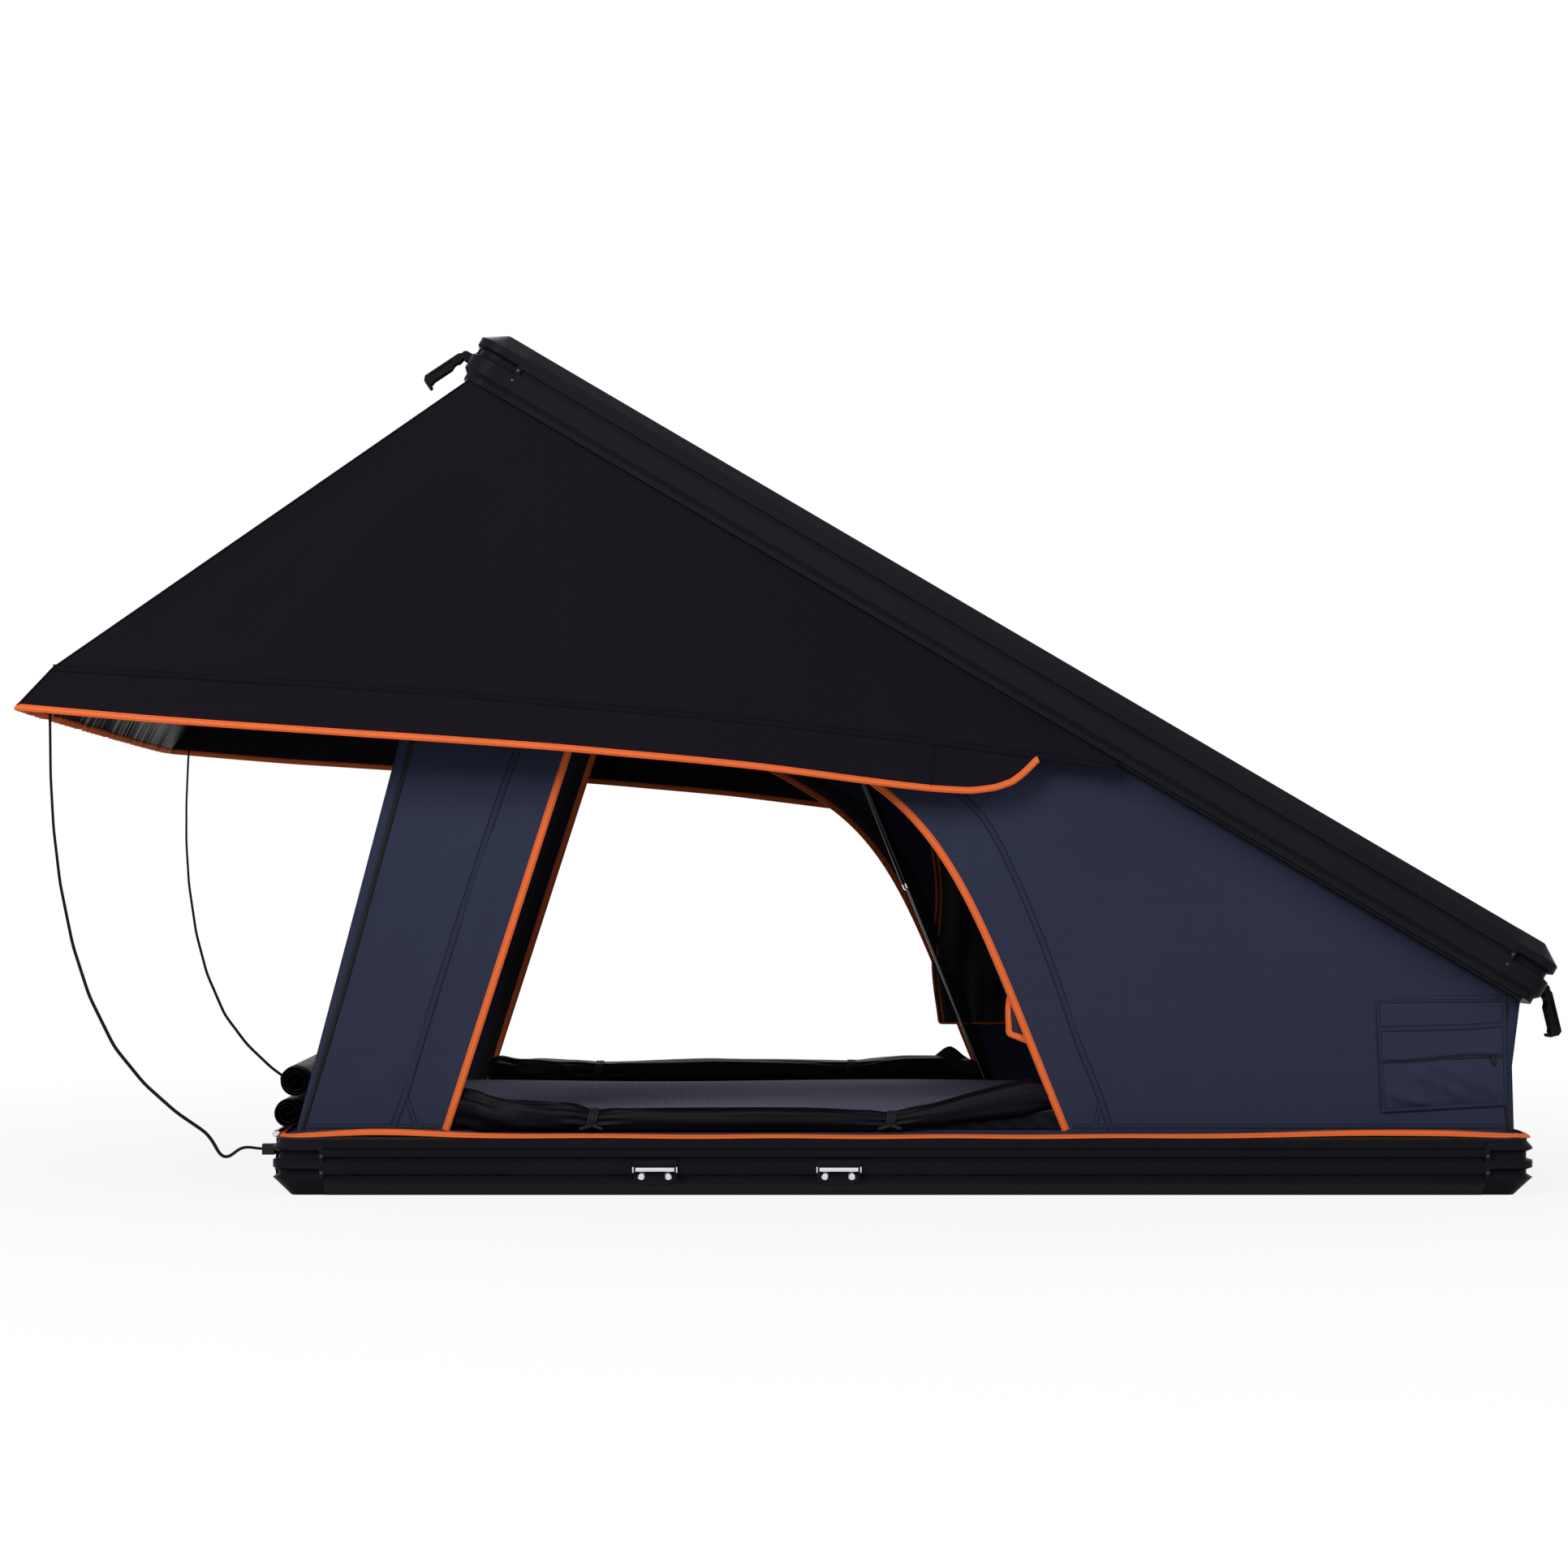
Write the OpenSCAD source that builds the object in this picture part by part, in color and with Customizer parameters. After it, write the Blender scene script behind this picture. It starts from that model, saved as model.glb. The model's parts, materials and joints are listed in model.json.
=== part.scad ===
// Hard-shell wedge roof top tent, pitched open.
// Frame: +X towards the foot end, +Y to the far side, +Z up.
// Origin: middle of the footprint, on the plane that the mounting bars bolt down to.
// Lengths are in millimetres and angles in degrees.

/* [Base shell] */
// Length of the base shell
base_len = 2130; // [2050:5:2250]
// Width of the base shell
base_w = 1430; // [1380:5:1500]
// Height of the base shell
base_h = 95; // [94:0.5:105]
// Depth of a base rail from its outer face to its inner face
rail_d = 40; // [36:0.5:42]
// Wall of the hollow rails
rail_wall = 3; // [2:0.5:4]
// Height of the chamfer along the foot of the base rails
foot_chamfer_h = 20; // [16:0.5:22]
// Run of the chamfer along the foot of the base rails
foot_chamfer_d = 28; // [20:0.5:30]
// Height of a channel in the base rails
channel_h = 9; // [7:0.5:10]
// Depth of a channel in the base rails
channel_d = 6; // [4:0.5:8]
// Height of the band under the lower channel
band_low_h = 9; // [7:0.5:10]
// Height of the band between the channels
band_mid_h = 20; // [18:0.5:21]
// Height of the band over the upper channel
band_top_h = 11; // [9:0.5:12]
// Width of the flange that holds the cloth inside the side rails
flange_w = 26; // [20:0.5:28]
// Thickness of that flange
flange_t = 8; // [5:0.5:9]

/* [Lid shell] */
// How much shorter and narrower the lid is than the base
lid_margin = 19; // [12:0.5:22]
// Height of the lid
lid_h = 100; // [98:0.5:110]
// Depth of a lid rail
lid_rail_d = 38; // [36:0.5:42]
// Run of the chamfer along the top of the lid
top_chamfer_d = 30; // [20:0.5:34]
// Height of the chamfer along the top of the lid
top_chamfer_h = 20; // [16:0.5:22]
// Height of the groove along the lid
groove_h = 10; // [6:0.5:11]
// Depth of the groove along the lid
groove_d = 6; // [4:0.5:8]
// Height of the lower edge of the groove over the lip
groove_z = 48; // [44:0.5:50]
// Height of the lip along the lower edge of the lid
lip_h = 10; // [8:0.5:12]
// How far the lip stands in from the lid's side
lip_in = 8; // [6:0.5:10]
// Tilt of the pitched lid
lid_tilt = 30.4; // [26:0.1:32]
// Gap between the closed shells, which the seals fill
seam_gap = 4; // [3.5:0.1:6]

/* [Cast corners] */
// Length of a cast corner along each side
corner_len = 90; // [80:1:110]
// Plan radius of a cast corner
corner_r = 46; // [44:0.5:55]
// Depth of the grooves between the ridges of a corner
corner_groove = 10; // [6:0.5:12]
// Width of the plain rib where a corner meets a rail
corner_rib = 8; // [6:0.5:12]
// Radius of the heads of the corner screws
corner_screw_r = 3; // [2:0.25:3.5]

/* [Floor and roof] */
// Thickness of the floor panel
floor_t = 16; // [10:0.5:18]
// Height of the mounting bars under the floor
bar_h = 10; // [8:0.5:12]
// Width of a mounting bar
bar_w = 60; // [40:1:90]
// Distance between the bolt holes along the bars
bolt_span_x = 1000; // [800:5:1300]
// Distance between the two bars
bolt_span_y = 800; // [700:5:1000]
// Radius of the bolt holes
bolt_r = 4.25; // [3:0.05:6]
// Thickness of the roof panel
roof_t = 8; // [4:0.5:10]
// Thickness of the lining under the roof
lining_t = 8; // [4:0.5:12]
// Width of a seal
seal_w = 8; // [6:0.5:9]

/* [Mattress] */
// Room between the mattress and each end of the base
mattress_end_room = 80; // [78:1:140]
// Room between the mattress and each side of the base
mattress_side_room = 140; // [138:1:200]
// Thickness of the mattress at its edge
mattress_t = 92; // [70:1:110]
// Rise of the mattress towards its middle
mattress_crown = 10; // [4:0.5:16]

/* [Folding stays] */
// Length of each stay link between its pivots
stay_len = 271.6; // [270:0.2:273]
// Distance of the stay pivots from the foot end of the base
stay_inset = 145; // [130:1:170]
// Height of the lower stay pivot
stay_base_z = 50; // [46:0.5:54]
// Height of the upper stay pivot over the lid's lower edge
stay_lid_b = 51; // [46:0.5:56]
// Angle of the pitched lower links
lower_angle = 126; // [125:0.5:127]
// Angle of the pitched upper links
upper_angle = 36; // [35:0.5:37]
// Width of a stay link
stay_w = 24; // [20:0.5:28]
// Thickness of a stay link
stay_t = 4; // [3:0.25:5]
// Distance of the stays from the side of the base
stay_in = 87; // [85:0.5:89]

/* [Gas struts] */
// Distance of the struts from the side of the base
strut_in = 115; // [113:0.5:120]
// Radius of a strut's tube
tube_r = 9; // [8:0.25:10]
// Length of a strut's tube
tube_len = 515; // [480:1:540]
// Radius of a strut's rod
rod_r = 4; // [3:0.25:5]
// Distance of the strut's base pivot from the middle of the base
strut_base_x = 301; // [285:1:315]
// Height of the strut's base pivot
strut_base_z = 55; // [50:0.5:60]
// Distance of the strut's lid pivot from the middle of the lid, towards the head
strut_lid_a = 304; // [280:1:320]
// Height of the strut's lid pivot over the lid's lower edge
strut_lid_b = 22; // [20:0.5:28]

/* [Latches] */
// Distance of a latch from the end of its corner piece
latch_in = 30; // [25:1:60]
// Width of a latch hook
latch_w = 28; // [20:0.5:34]
// Height of the latch pin over the lid's lower edge
latch_b = 44; // [40:0.5:50]
// How far the latch pin stands out of the lid's end
latch_out = 18; // [16:0.5:20]
// Swing of the unlatched head hooks from their latched place
head_latch_swing = 26; // [20:0.5:40]
// Swing of the unlatched foot hooks from their latched place
foot_latch_swing = 44; // [20:0.5:50]

/* [Ladder brackets] */
// Distance between the two brackets of a side
ladder_pitch = 308; // [260:1:400]
// Distance of the bracket nearer the head from the middle of the base
ladder_x = 419; // [380:1:460]
// Width of a bracket
ladder_w = 71; // [60:0.5:80]
// Radius of a bracket's pin
ladder_pin_r = 4; // [3:0.25:5]

/* [Awning rods] */
// Radius of an awning rod
awning_rod_r = 2.25; // [1.5:0.25:2.5]
// Distance of a rod's socket from the side of the base
socket_in = 72; // [71:0.5:73]
// Height of a rod's socket
socket_z = 74; // [73:0.25:75]

/* [Cloth] */
// Thickness of the wall cloth and the fly
cloth_t = 2; // [1:0.25:3]
// How far the side walls stand in from the outside of the base
wall_in = 62; // [60:0.5:63]
// How far the head wall stands in from the head end of the base
head_wall_in = 35; // [32:0.5:38]
// How far the foot wall stands in from the foot end of the base
foot_wall_in = 25; // [22:0.5:30]
// Height of the sill under a side door
sill_h = 11; // [8:0.5:16]
// Width of the cloth frame round the head opening
head_frame_w = 70; // [50:1:100]
// How far the fly reaches past the head end of the base
fly_reach = 347; // [300:1:400]
// Drop of the fly's front from the head end of the lid
fly_drop = 489; // [450:1:530]
// How far the front corners of the fly spread past the lid's lip
fly_flare = 118; // [90:1:140]
// Drop of the valance at the front of the fly
valance_h = 69; // [50:1:90]
// Height of the ripples along the fly's hem
ripple = 5; // [2:0.5:8]
// Width of the wall pocket
pocket_w = 225; // [180:1:260]
// Height of the wall pocket
pocket_h = 186; // [140:1:200]
// Width of the flap inside the far wall
flap_w = 255; // [200:1:280]
// Height of the flap inside the far wall
flap_h = 408; // [300:1:420]
// Radius of a rolled mesh door
mesh_roll_r = 30; // [24:0.5:32]
// Radius of the upper rolled head door
head_roll_upper_r = 26; // [20:0.5:28]
// Radius of the lower rolled head door
head_roll_lower_r = 24; // [17:0.5:26]

/* [Hidden] */
$fn = 48;

// Clearances
touch = 0.3;
run = 0.1;
pin_r = 4;

// Colours
shell_black = "#1c1b20";
part_black = "#141318";
navy = "#2b3145";
orange = "#d8671f";
chrome = "#d5d5d8";
steel = "#3a3a40";

// Levels of the base rail's bands, from the foot up
channel_low_z = foot_chamfer_h + band_low_h;
band_mid_z = channel_low_z + channel_h;
channel_top_z = band_mid_z + band_mid_h;
band_top_z = channel_top_z + channel_h;
lip_groove_z = band_top_z + band_top_h;
lip_groove_h = 4;
lip_groove_d = 3;
lip_round = 4;

// Lid size and its place when pitched, worked out along the stays
lid_len = base_len - lid_margin;
lid_w = base_w - lid_margin;
seam_z = base_h + seam_gap;
stay_x = base_len / 2 - stay_inset;
stay_y = base_w / 2 - stay_in;
strut_y = base_w / 2 - strut_in;
knee_x = stay_x + stay_len * cos(lower_angle);
knee_z = stay_base_z + stay_len * sin(lower_angle);
stay_top_x = knee_x + stay_len * cos(upper_angle);
stay_top_z = knee_z + stay_len * sin(upper_angle);
lid_x = stay_top_x - stay_x * cos(lid_tilt) - stay_lid_b * sin(lid_tilt);
lid_z = stay_top_z + stay_x * sin(lid_tilt) - stay_lid_b * cos(lid_tilt);
function lid_point(a, b) = [
    lid_x + a * cos(lid_tilt) + b * sin(lid_tilt),
    lid_z - a * sin(lid_tilt) + b * cos(lid_tilt)
];

// Struts from their lid pivots down to their base pivots
strut_top = lid_point(-strut_lid_a, strut_lid_b);
strut_run = strut_base_x - strut_top[0];
strut_drop = strut_top[1] - strut_base_z;
strut_len = sqrt(strut_run * strut_run + strut_drop * strut_drop);
strut_angle = atan2(strut_drop, strut_run);
eye_r = 11;
eye_t = 12;
gland_len = 15;
collar_len = 14;
rod_inside = 24;

floor_top = bar_h + floor_t;
wall_y = base_w / 2 - wall_in;
head_x = -base_len / 2;
foot_x = base_len / 2;
wall_foot_z = base_h + touch;

module on_lid() {
    translate([lid_x, 0, lid_z]) rotate([0, lid_tilt, 0]) children();
}

module both_sides() {
    children();
    mirror([0, 1, 0]) children();
}

module both_ends() {
    children();
    mirror([1, 0, 0]) children();
}

// Turns a flat outline of (X, Z) points into a plate from y to y + t
module upright(y, t) {
    translate([0, y + t, 0]) rotate([90, 0, 0]) linear_extrude(t) children();
}

// Base rail profile: first number is the depth from the outside, second the height
module base_profile() {
    inner = rail_d;
    difference() {
        polygon([
            [foot_chamfer_d, 0], [inner + 14, 0], [inner + 14, bar_h], [inner, bar_h],
            [inner, base_h - flange_t], [inner + flange_w, base_h - flange_t],
            [inner + flange_w, base_h], [lip_round, base_h], [0, base_h - lip_round],
            [0, lip_groove_z + lip_groove_h], [lip_groove_d, lip_groove_z + lip_groove_h],
            [lip_groove_d, lip_groove_z], [0, lip_groove_z],
            [0, band_top_z], [channel_d, band_top_z], [channel_d, channel_top_z],
            [0, channel_top_z], [0, band_mid_z], [channel_d, band_mid_z],
            [channel_d, channel_low_z], [0, channel_low_z], [0, foot_chamfer_h]
        ]);
        translate([channel_d + rail_wall, foot_chamfer_h + rail_wall])
            square([inner - channel_d - 2 * rail_wall, base_h - foot_chamfer_h - 2 * rail_wall]);
    }
}

// Lid rail profile: first number is the depth from the outside, second the height over the lip
module lid_profile() {
    inner = lid_rail_d;
    difference() {
        polygon([
            [lip_in, 0], [inner + flange_w, 0], [inner + flange_w, flange_t], [inner, flange_t],
            [inner, lid_h - roof_t], [inner + roof_t, lid_h - roof_t], [inner + roof_t, lid_h],
            [top_chamfer_d, lid_h], [0, lid_h - top_chamfer_h],
            [0, groove_z + groove_h], [groove_d, groove_z + groove_h], [groove_d, groove_z],
            [0, groove_z], [0, lip_h + lip_in], [lip_in, lip_h]
        ]);
        translate([lip_in + rail_wall, lip_h])
            square([inner - lip_in - 2 * rail_wall, lid_h - top_chamfer_h - lip_h - rail_wall]);
    }
}

// A rail along X on the near side of a shell of width w
module rail(len, w) {
    translate([-len / 2, 0, 0]) rotate([90, 0, 90])
        linear_extrude(len) translate([-w / 2, 0]) children();
}

// Ridged corner profile of the base, and the plain one of its ribs
corner_d = rail_d + 2;
base_corner_chamfer_d = 31;
base_corner_chamfer_h = 30;
base_corner_outline = [
    [base_corner_chamfer_d, 0], [0, base_corner_chamfer_h], [corner_groove, 36], [corner_groove, 43],
    [0, 47], [0, 59], [corner_groove, 62], [corner_groove, 73], [0, 78], [0, 81],
    [9, base_h - 4], [9, base_h], [corner_d, base_h], [corner_d, 0]
];
base_rib_outline = [
    [base_corner_chamfer_d, 0], [0, base_corner_chamfer_h], [0, 81],
    [9, base_h - 4], [9, base_h], [corner_d, base_h], [corner_d, 0]
];

// Ridged corner profile of the lid, and the plain one of its ribs
lid_corner_chamfer_d = 36;
lid_corner_chamfer_h = 24;
lid_corner_proud = 1;
lid_corner_outline = [
    [lip_in, 0], [lip_in, lip_h], [0, lip_h + lip_in], [0, groove_z - 4], [corner_groove, groove_z],
    [corner_groove, groove_z + groove_h], [0, groove_z + groove_h + 4],
    [0, lid_h - lid_corner_chamfer_h], [lid_corner_chamfer_d, lid_h + lid_corner_proud],
    [corner_d, lid_h + lid_corner_proud], [corner_d, 0]
];
lid_rib_outline = [
    [lip_in, 0], [lip_in, lip_h], [0, lip_h + lip_in], [0, lid_h - lid_corner_chamfer_h],
    [lid_corner_chamfer_d, lid_h + lid_corner_proud], [corner_d, lid_h + lid_corner_proud], [corner_d, 0]
];

// One leg of a corner, from its round part to the rail
module corner_leg(len, w, outline, rib) {
    far_face = len / 2 - corner_r;
    joint = len / 2 - corner_len;
    rotate([90, 0, 90]) translate([0, 0, joint + corner_rib]) linear_extrude(far_face - joint - corner_rib)
        translate([w / 2, 0]) mirror([1, 0]) polygon(outline);
    rotate([90, 0, 90]) translate([0, 0, joint]) linear_extrude(corner_rib)
        translate([w / 2, 0]) mirror([1, 0]) polygon(rib);
}

// The corner at +X and +Y of a shell
module corner(len, w, outline, rib) {
    translate([len / 2 - corner_r, w / 2 - corner_r, 0]) rotate_extrude(angle = 90)
        polygon([for (p = outline) [corner_r - p[0], p[1]]]);
    corner_leg(len, w, outline, rib);
    mirror([1, -1, 0]) corner_leg(w, len, outline, rib);
}

// Dome-headed screw that stands out along -Y from y = 0
module dome_screw(r, h) {
    rotate([90, 0, 0]) rotate_extrude()
        polygon([[0, 0], [r, 0], [r, h * 0.4], [r * 0.7, h * 0.85], [0, h]]);
}

// The screws of the corner at +X and -Y: two in each rib
module corner_screw_set(len, w, levels) {
    for (z = levels) {
        translate([len / 2 - corner_len + corner_rib / 2, -w / 2, z]) dome_screw(corner_screw_r, 2);
        translate([len / 2, -w / 2 + corner_len - corner_rib / 2, z]) rotate([0, 0, 90])
            dome_screw(corner_screw_r, 2);
    }
}

module base_rail_near() {
    color(shell_black) rail(base_len - 2 * corner_len, base_w) base_profile();
}

module base_rail_far() {
    color(shell_black) mirror([0, 1, 0]) rail(base_len - 2 * corner_len, base_w) base_profile();
}

module base_rail_head() {
    color(shell_black) rotate([0, 0, -90]) rail(base_w - 2 * corner_len, base_len) base_profile();
}

module base_rail_foot() {
    color(shell_black) rotate([0, 0, 90]) rail(base_w - 2 * corner_len, base_len) base_profile();
}

module base_corners() {
    color(part_black) both_ends() both_sides() corner(base_len, base_w, base_corner_outline, base_rib_outline);
}

module base_corner_screws() {
    color(chrome) both_ends() both_sides() corner_screw_set(base_len, base_w, [39.5, 67.5]);
}

// Rests on the ledges at the foot of the rails
module floor_panel() {
    color("#2a2a2e") translate([-base_len / 2 + corner_d + 2, -base_w / 2 + corner_d + 2, bar_h])
        cube([base_len - 2 * corner_d - 4, base_w - 2 * corner_d - 4, floor_t]);
}

// Two bars under the floor, each with two bolt holes
module mounting_bars() {
    bar_len = base_len - 2 * (rail_d + 20);
    color("silver") both_sides() difference() {
        translate([-bar_len / 2, bolt_span_y / 2 - bar_w / 2, 0]) cube([bar_len, bar_w, bar_h]);
        for (x = [-bolt_span_x / 2, bolt_span_x / 2])
            translate([x, bolt_span_y / 2, -1]) cylinder(r = bolt_r, h = bar_h + 2);
    }
}

// A seal along all four sides, its outside set in from the shell's outside
module seal_ring(len, w, inset, h) {
    r_out = corner_r - inset;
    difference() {
        linear_extrude(h) rounded_rect(len - 2 * inset, w - 2 * inset, r_out);
        translate([0, 0, -1]) linear_extrude(h + 2)
            rounded_rect(len - 2 * inset - 2 * seal_w, w - 2 * inset - 2 * seal_w, r_out - seal_w);
    }
}

module rounded_rect(l, w, r) {
    square([l - 2 * r, w], center = true);
    square([l, w - 2 * r], center = true);
    for (x = [-1, 1], y = [-1, 1]) translate([x * (l / 2 - r), y * (w / 2 - r)]) circle(r = r);
}

module base_seal() {
    color(part_black) translate([0, 0, base_h]) seal_ring(base_len, base_w, 10, seam_gap - 0.5);
}

module lid_seal() {
    color(part_black) on_lid() translate([0, 0, -(seam_gap - 0.5)])
        seal_ring(lid_len, lid_w, 24, seam_gap - 0.5);
}

// Closed solid through rows of points: each row is a ring, and the first and last are capped
module loft(rings) {
    n = len(rings[0]);
    m = len(rings);
    sides = [for (i = [0 : m - 2], j = [0 : n - 1]) each [
        [i * n + j, i * n + (j + 1) % n, (i + 1) * n + j],
        [i * n + (j + 1) % n, (i + 1) * n + (j + 1) % n, (i + 1) * n + j]
    ]];
    first = [for (j = [1 : n - 2]) [0, j + 1, j]];
    last = [for (j = [1 : n - 2]) [(m - 1) * n, (m - 1) * n + j, (m - 1) * n + j + 1]];
    polyhedron(points = [for (r = rings) each r], faces = concat(sides, first, last));
}

mattress_len = base_len - 2 * mattress_end_room;
mattress_w = base_w - 2 * mattress_side_room;

// Mattress: rings are rounded rectangles from the bottom to the crown, with drawn-in sides
mattress_r = 60;
function rect_ring(l, w, r, z, dome) = [
    for (q = [0 : 3], k = [0 : 6])
        let (a = q * 90 + k * 15, sx = (q == 0 || q == 3) ? 1 : -1, sy = q < 2 ? 1 : -1,
             x = sx * (l / 2 - r) + r * cos(a), y = sy * (w / 2 - r) + r * sin(a))
            [x, y, z + dome]
];

module mattress() {
    bottom = floor_top + touch;
    edge = 8;
    rows = 8;
    waist = 6;
    color("#5b616d") loft(concat(
        [rect_ring(mattress_len - 2 * edge, mattress_w - 2 * edge, mattress_r - edge, bottom, 0)],
        [for (i = [0 : rows])
            let (u = i / rows, z = bottom + edge + u * (mattress_t - 2 * edge), d = waist * sin(180 * u))
                rect_ring(mattress_len - 2 * d, mattress_w - 2 * d, mattress_r - d, z, 0)],
        [for (i = [1 : rows])
            let (u = i / rows, d = edge + (mattress_w / 2 - edge - 40) * pow(u, 1.5),
                 r = max(mattress_r - d, 20))
                rect_ring(mattress_len - 2 * d, mattress_w - 2 * d, r,
                    bottom + mattress_t, mattress_crown * sin(90 * u))]
    ));
}

// Ladder bracket on the near side, centred on x = 0
ladder_low = foot_chamfer_h + 1;
ladder_high = channel_top_z + 3;
ladder_plate_t = 3;
ladder_ear_t = 3;
ladder_ear_out = 20;
ladder_pin_out = 14;
ladder_pin_z = ladder_high - 14;
ladder_bolt_z = ladder_low + 14;
ladder_bolt_r = 6.5;
ladder_taper = 9;
ladder_bolt_pitch = ladder_w - 26;

module at_ladder_brackets() {
    both_sides() for (i = [0, 1])
        translate([-ladder_x + i * ladder_pitch, -base_w / 2, 0]) children();
}

module ladder_plate() {
    upright(-ladder_plate_t, ladder_plate_t) polygon([
        [-ladder_w / 2 + ladder_taper, ladder_low], [ladder_w / 2 - ladder_taper, ladder_low],
        [ladder_w / 2, ladder_low + ladder_taper], [ladder_w / 2, ladder_high],
        [-ladder_w / 2, ladder_high], [-ladder_w / 2, ladder_low + ladder_taper]
    ]);
    for (x = [-ladder_w / 2, ladder_w / 2 - ladder_ear_t]) difference() {
        translate([x, -ladder_ear_out, ladder_pin_z - 8]) cube([ladder_ear_t, ladder_ear_out, 16]);
        translate([x - 1, -ladder_pin_out, ladder_pin_z]) rotate([0, 90, 0])
            cylinder(r = ladder_pin_r + run, h = ladder_ear_t + 2);
    }
}

module ladder_plates() {
    color(part_black) at_ladder_brackets() ladder_plate();
}

module ladder_pins() {
    head_t = 2;
    half = ladder_w / 2 + run;
    color(chrome) at_ladder_brackets() translate([0, -ladder_pin_out, ladder_pin_z]) rotate([0, 90, 0])
        rotate_extrude() polygon([
            [0, -half - head_t], [ladder_pin_r + 2, -half - head_t], [ladder_pin_r + 2, -half],
            [ladder_pin_r, -half], [ladder_pin_r, half], [ladder_pin_r + 2, half],
            [ladder_pin_r + 2, half + head_t], [0, half + head_t]
        ]);
}

module ladder_bolts() {
    color(chrome) at_ladder_brackets() for (x = [-ladder_bolt_pitch / 2, ladder_bolt_pitch / 2])
        translate([x, -ladder_plate_t, ladder_bolt_z]) dome_screw(ladder_bolt_r, 5);
}

// Block on the head corner that an awning rod plugs into
socket_h = 18;
socket_w = 20;
socket_y = base_w / 2 - socket_in;
socket_out = 21;
socket_bore_len = 18;

module rod_sockets() {
    color(part_black) both_sides() difference() {
        translate([head_x - socket_out, socket_y - socket_w / 2, socket_z - socket_h / 2])
            cube([socket_out, socket_w, socket_h]);
        translate([head_x - socket_out - 1, socket_y, socket_z]) rotate([0, 90, 0])
            cylinder(r = awning_rod_r + run, h = socket_bore_len + 1);
    }
}

// Bar along the head end, over the base rail, with rounded ends
head_bar_r = 6;
module head_bar() {
    bar_half = wall_y + 6;
    color(chrome) translate([head_x + 3.5, 0, base_h + head_bar_r + touch]) rotate([90, 0, 0]) rotate_extrude()
        polygon([
            [0, -bar_half], [head_bar_r - 2, -bar_half], [head_bar_r, -bar_half + 2],
            [head_bar_r, bar_half - 2], [head_bar_r - 2, bar_half], [0, bar_half]
        ]);
}

// Bracket on the floor beside a strut's lower end
strut_plate_t = 4;
strut_plate_y = strut_y + eye_t / 2 + 6;
module strut_base_brackets() {
    half = 20;
    foot_w = 34;
    color(steel) both_sides() {
        upright(strut_plate_y, strut_plate_t) polygon([
            [strut_base_x - half, floor_top], [strut_base_x + half, floor_top],
            [strut_base_x + half, floor_top + 12], [strut_base_x + 10, strut_base_z + 12],
            [strut_base_x - 10, strut_base_z + 12], [strut_base_x - half, floor_top + 12]
        ]);
        translate([strut_base_x - half, strut_plate_y + strut_plate_t, floor_top])
            cube([2 * half, foot_w - strut_plate_t, strut_plate_t]);
    }
}

// Round-ended link along +X from the origin, with a bore at each end
module link(len, w, t, bore) {
    translate([0, t, 0]) rotate([90, 0, 0]) linear_extrude(t) difference() {
        union() {
            translate([0, -w / 2]) square([len, w]);
            circle(d = w);
            translate([len, 0]) circle(d = w);
        }
        circle(r = bore);
        translate([len, 0]) circle(r = bore);
    }
}

// Shouldered pin along +Y from y0 to y1, with a head of thickness head at each end that has one
module pin(y0, y1, head0, head1) {
    rotate([-90, 0, 0]) rotate_extrude() polygon(concat(
        [[0, y0 - head0]],
        head0 > 0 ? [[pin_r + 3, y0 - head0], [pin_r + 3, y0]] : [],
        [[pin_r, y0], [pin_r, y1]],
        head1 > 0 ? [[pin_r + 3, y1], [pin_r + 3, y1 + head1]] : [],
        [[0, y1 + head1]]
    ));
}

stay_head_t = 2.5;
lower_y = stay_y;
upper_y = stay_y + stay_t + touch;
stay_bracket_t = 4;
stay_base_plate_y = lower_y - touch - stay_bracket_t;
stay_lid_plate_y = upper_y + stay_t + touch;

module stay_base_brackets() {
    half = 22;
    color(steel) both_sides() {
        upright(stay_base_plate_y, stay_bracket_t) polygon([
            [stay_x - half, floor_top], [stay_x + half, floor_top],
            [stay_x + half, floor_top + 8], [stay_x + 13, stay_base_z + 12],
            [stay_x - 13, stay_base_z + 12], [stay_x - half, floor_top + 8]
        ]);
        translate([stay_x - half, stay_base_plate_y - 26, floor_top]) cube([2 * half, 26, stay_bracket_t]);
        translate([stay_x, stay_base_plate_y + stay_bracket_t, stay_base_z])
            pin(0, stay_t + 2 * touch, 0, stay_head_t - 1);
    }
}

module lower_stay_links() {
    color(steel) both_sides() translate([stay_x, lower_y, stay_base_z]) rotate([0, -lower_angle, 0])
        link(stay_len, stay_w, stay_t, pin_r + run);
}

module knee_pins() {
    color(chrome) both_sides() translate([knee_x, lower_y, knee_z])
        pin(0, 2 * stay_t + 2 * touch, stay_head_t, stay_head_t);
}

module upper_stay_links() {
    color(steel) both_sides() translate([knee_x, upper_y, knee_z]) rotate([0, -upper_angle, 0])
        link(stay_len, stay_w, stay_t, pin_r + run);
}

// Bracket inside the lid's side rail that holds the upper stay link on a pin
module stay_lid_brackets() {
    rail_face = lid_w / 2 - lid_rail_d;
    half = 16;
    low = flange_t + 2;
    color(steel) on_lid() both_sides() {
        translate([stay_x - half, stay_lid_plate_y, low])
            cube([2 * half, stay_bracket_t, stay_lid_b + 14 - low]);
        translate([stay_x - half, stay_lid_plate_y + stay_bracket_t, low])
            cube([2 * half, rail_face - stay_lid_plate_y - stay_bracket_t, stay_bracket_t]);
        translate([stay_x, stay_lid_plate_y, stay_lid_b])
            pin(-(stay_t + 2 * touch), 0, stay_head_t - 1, 0);
    }
}

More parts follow.
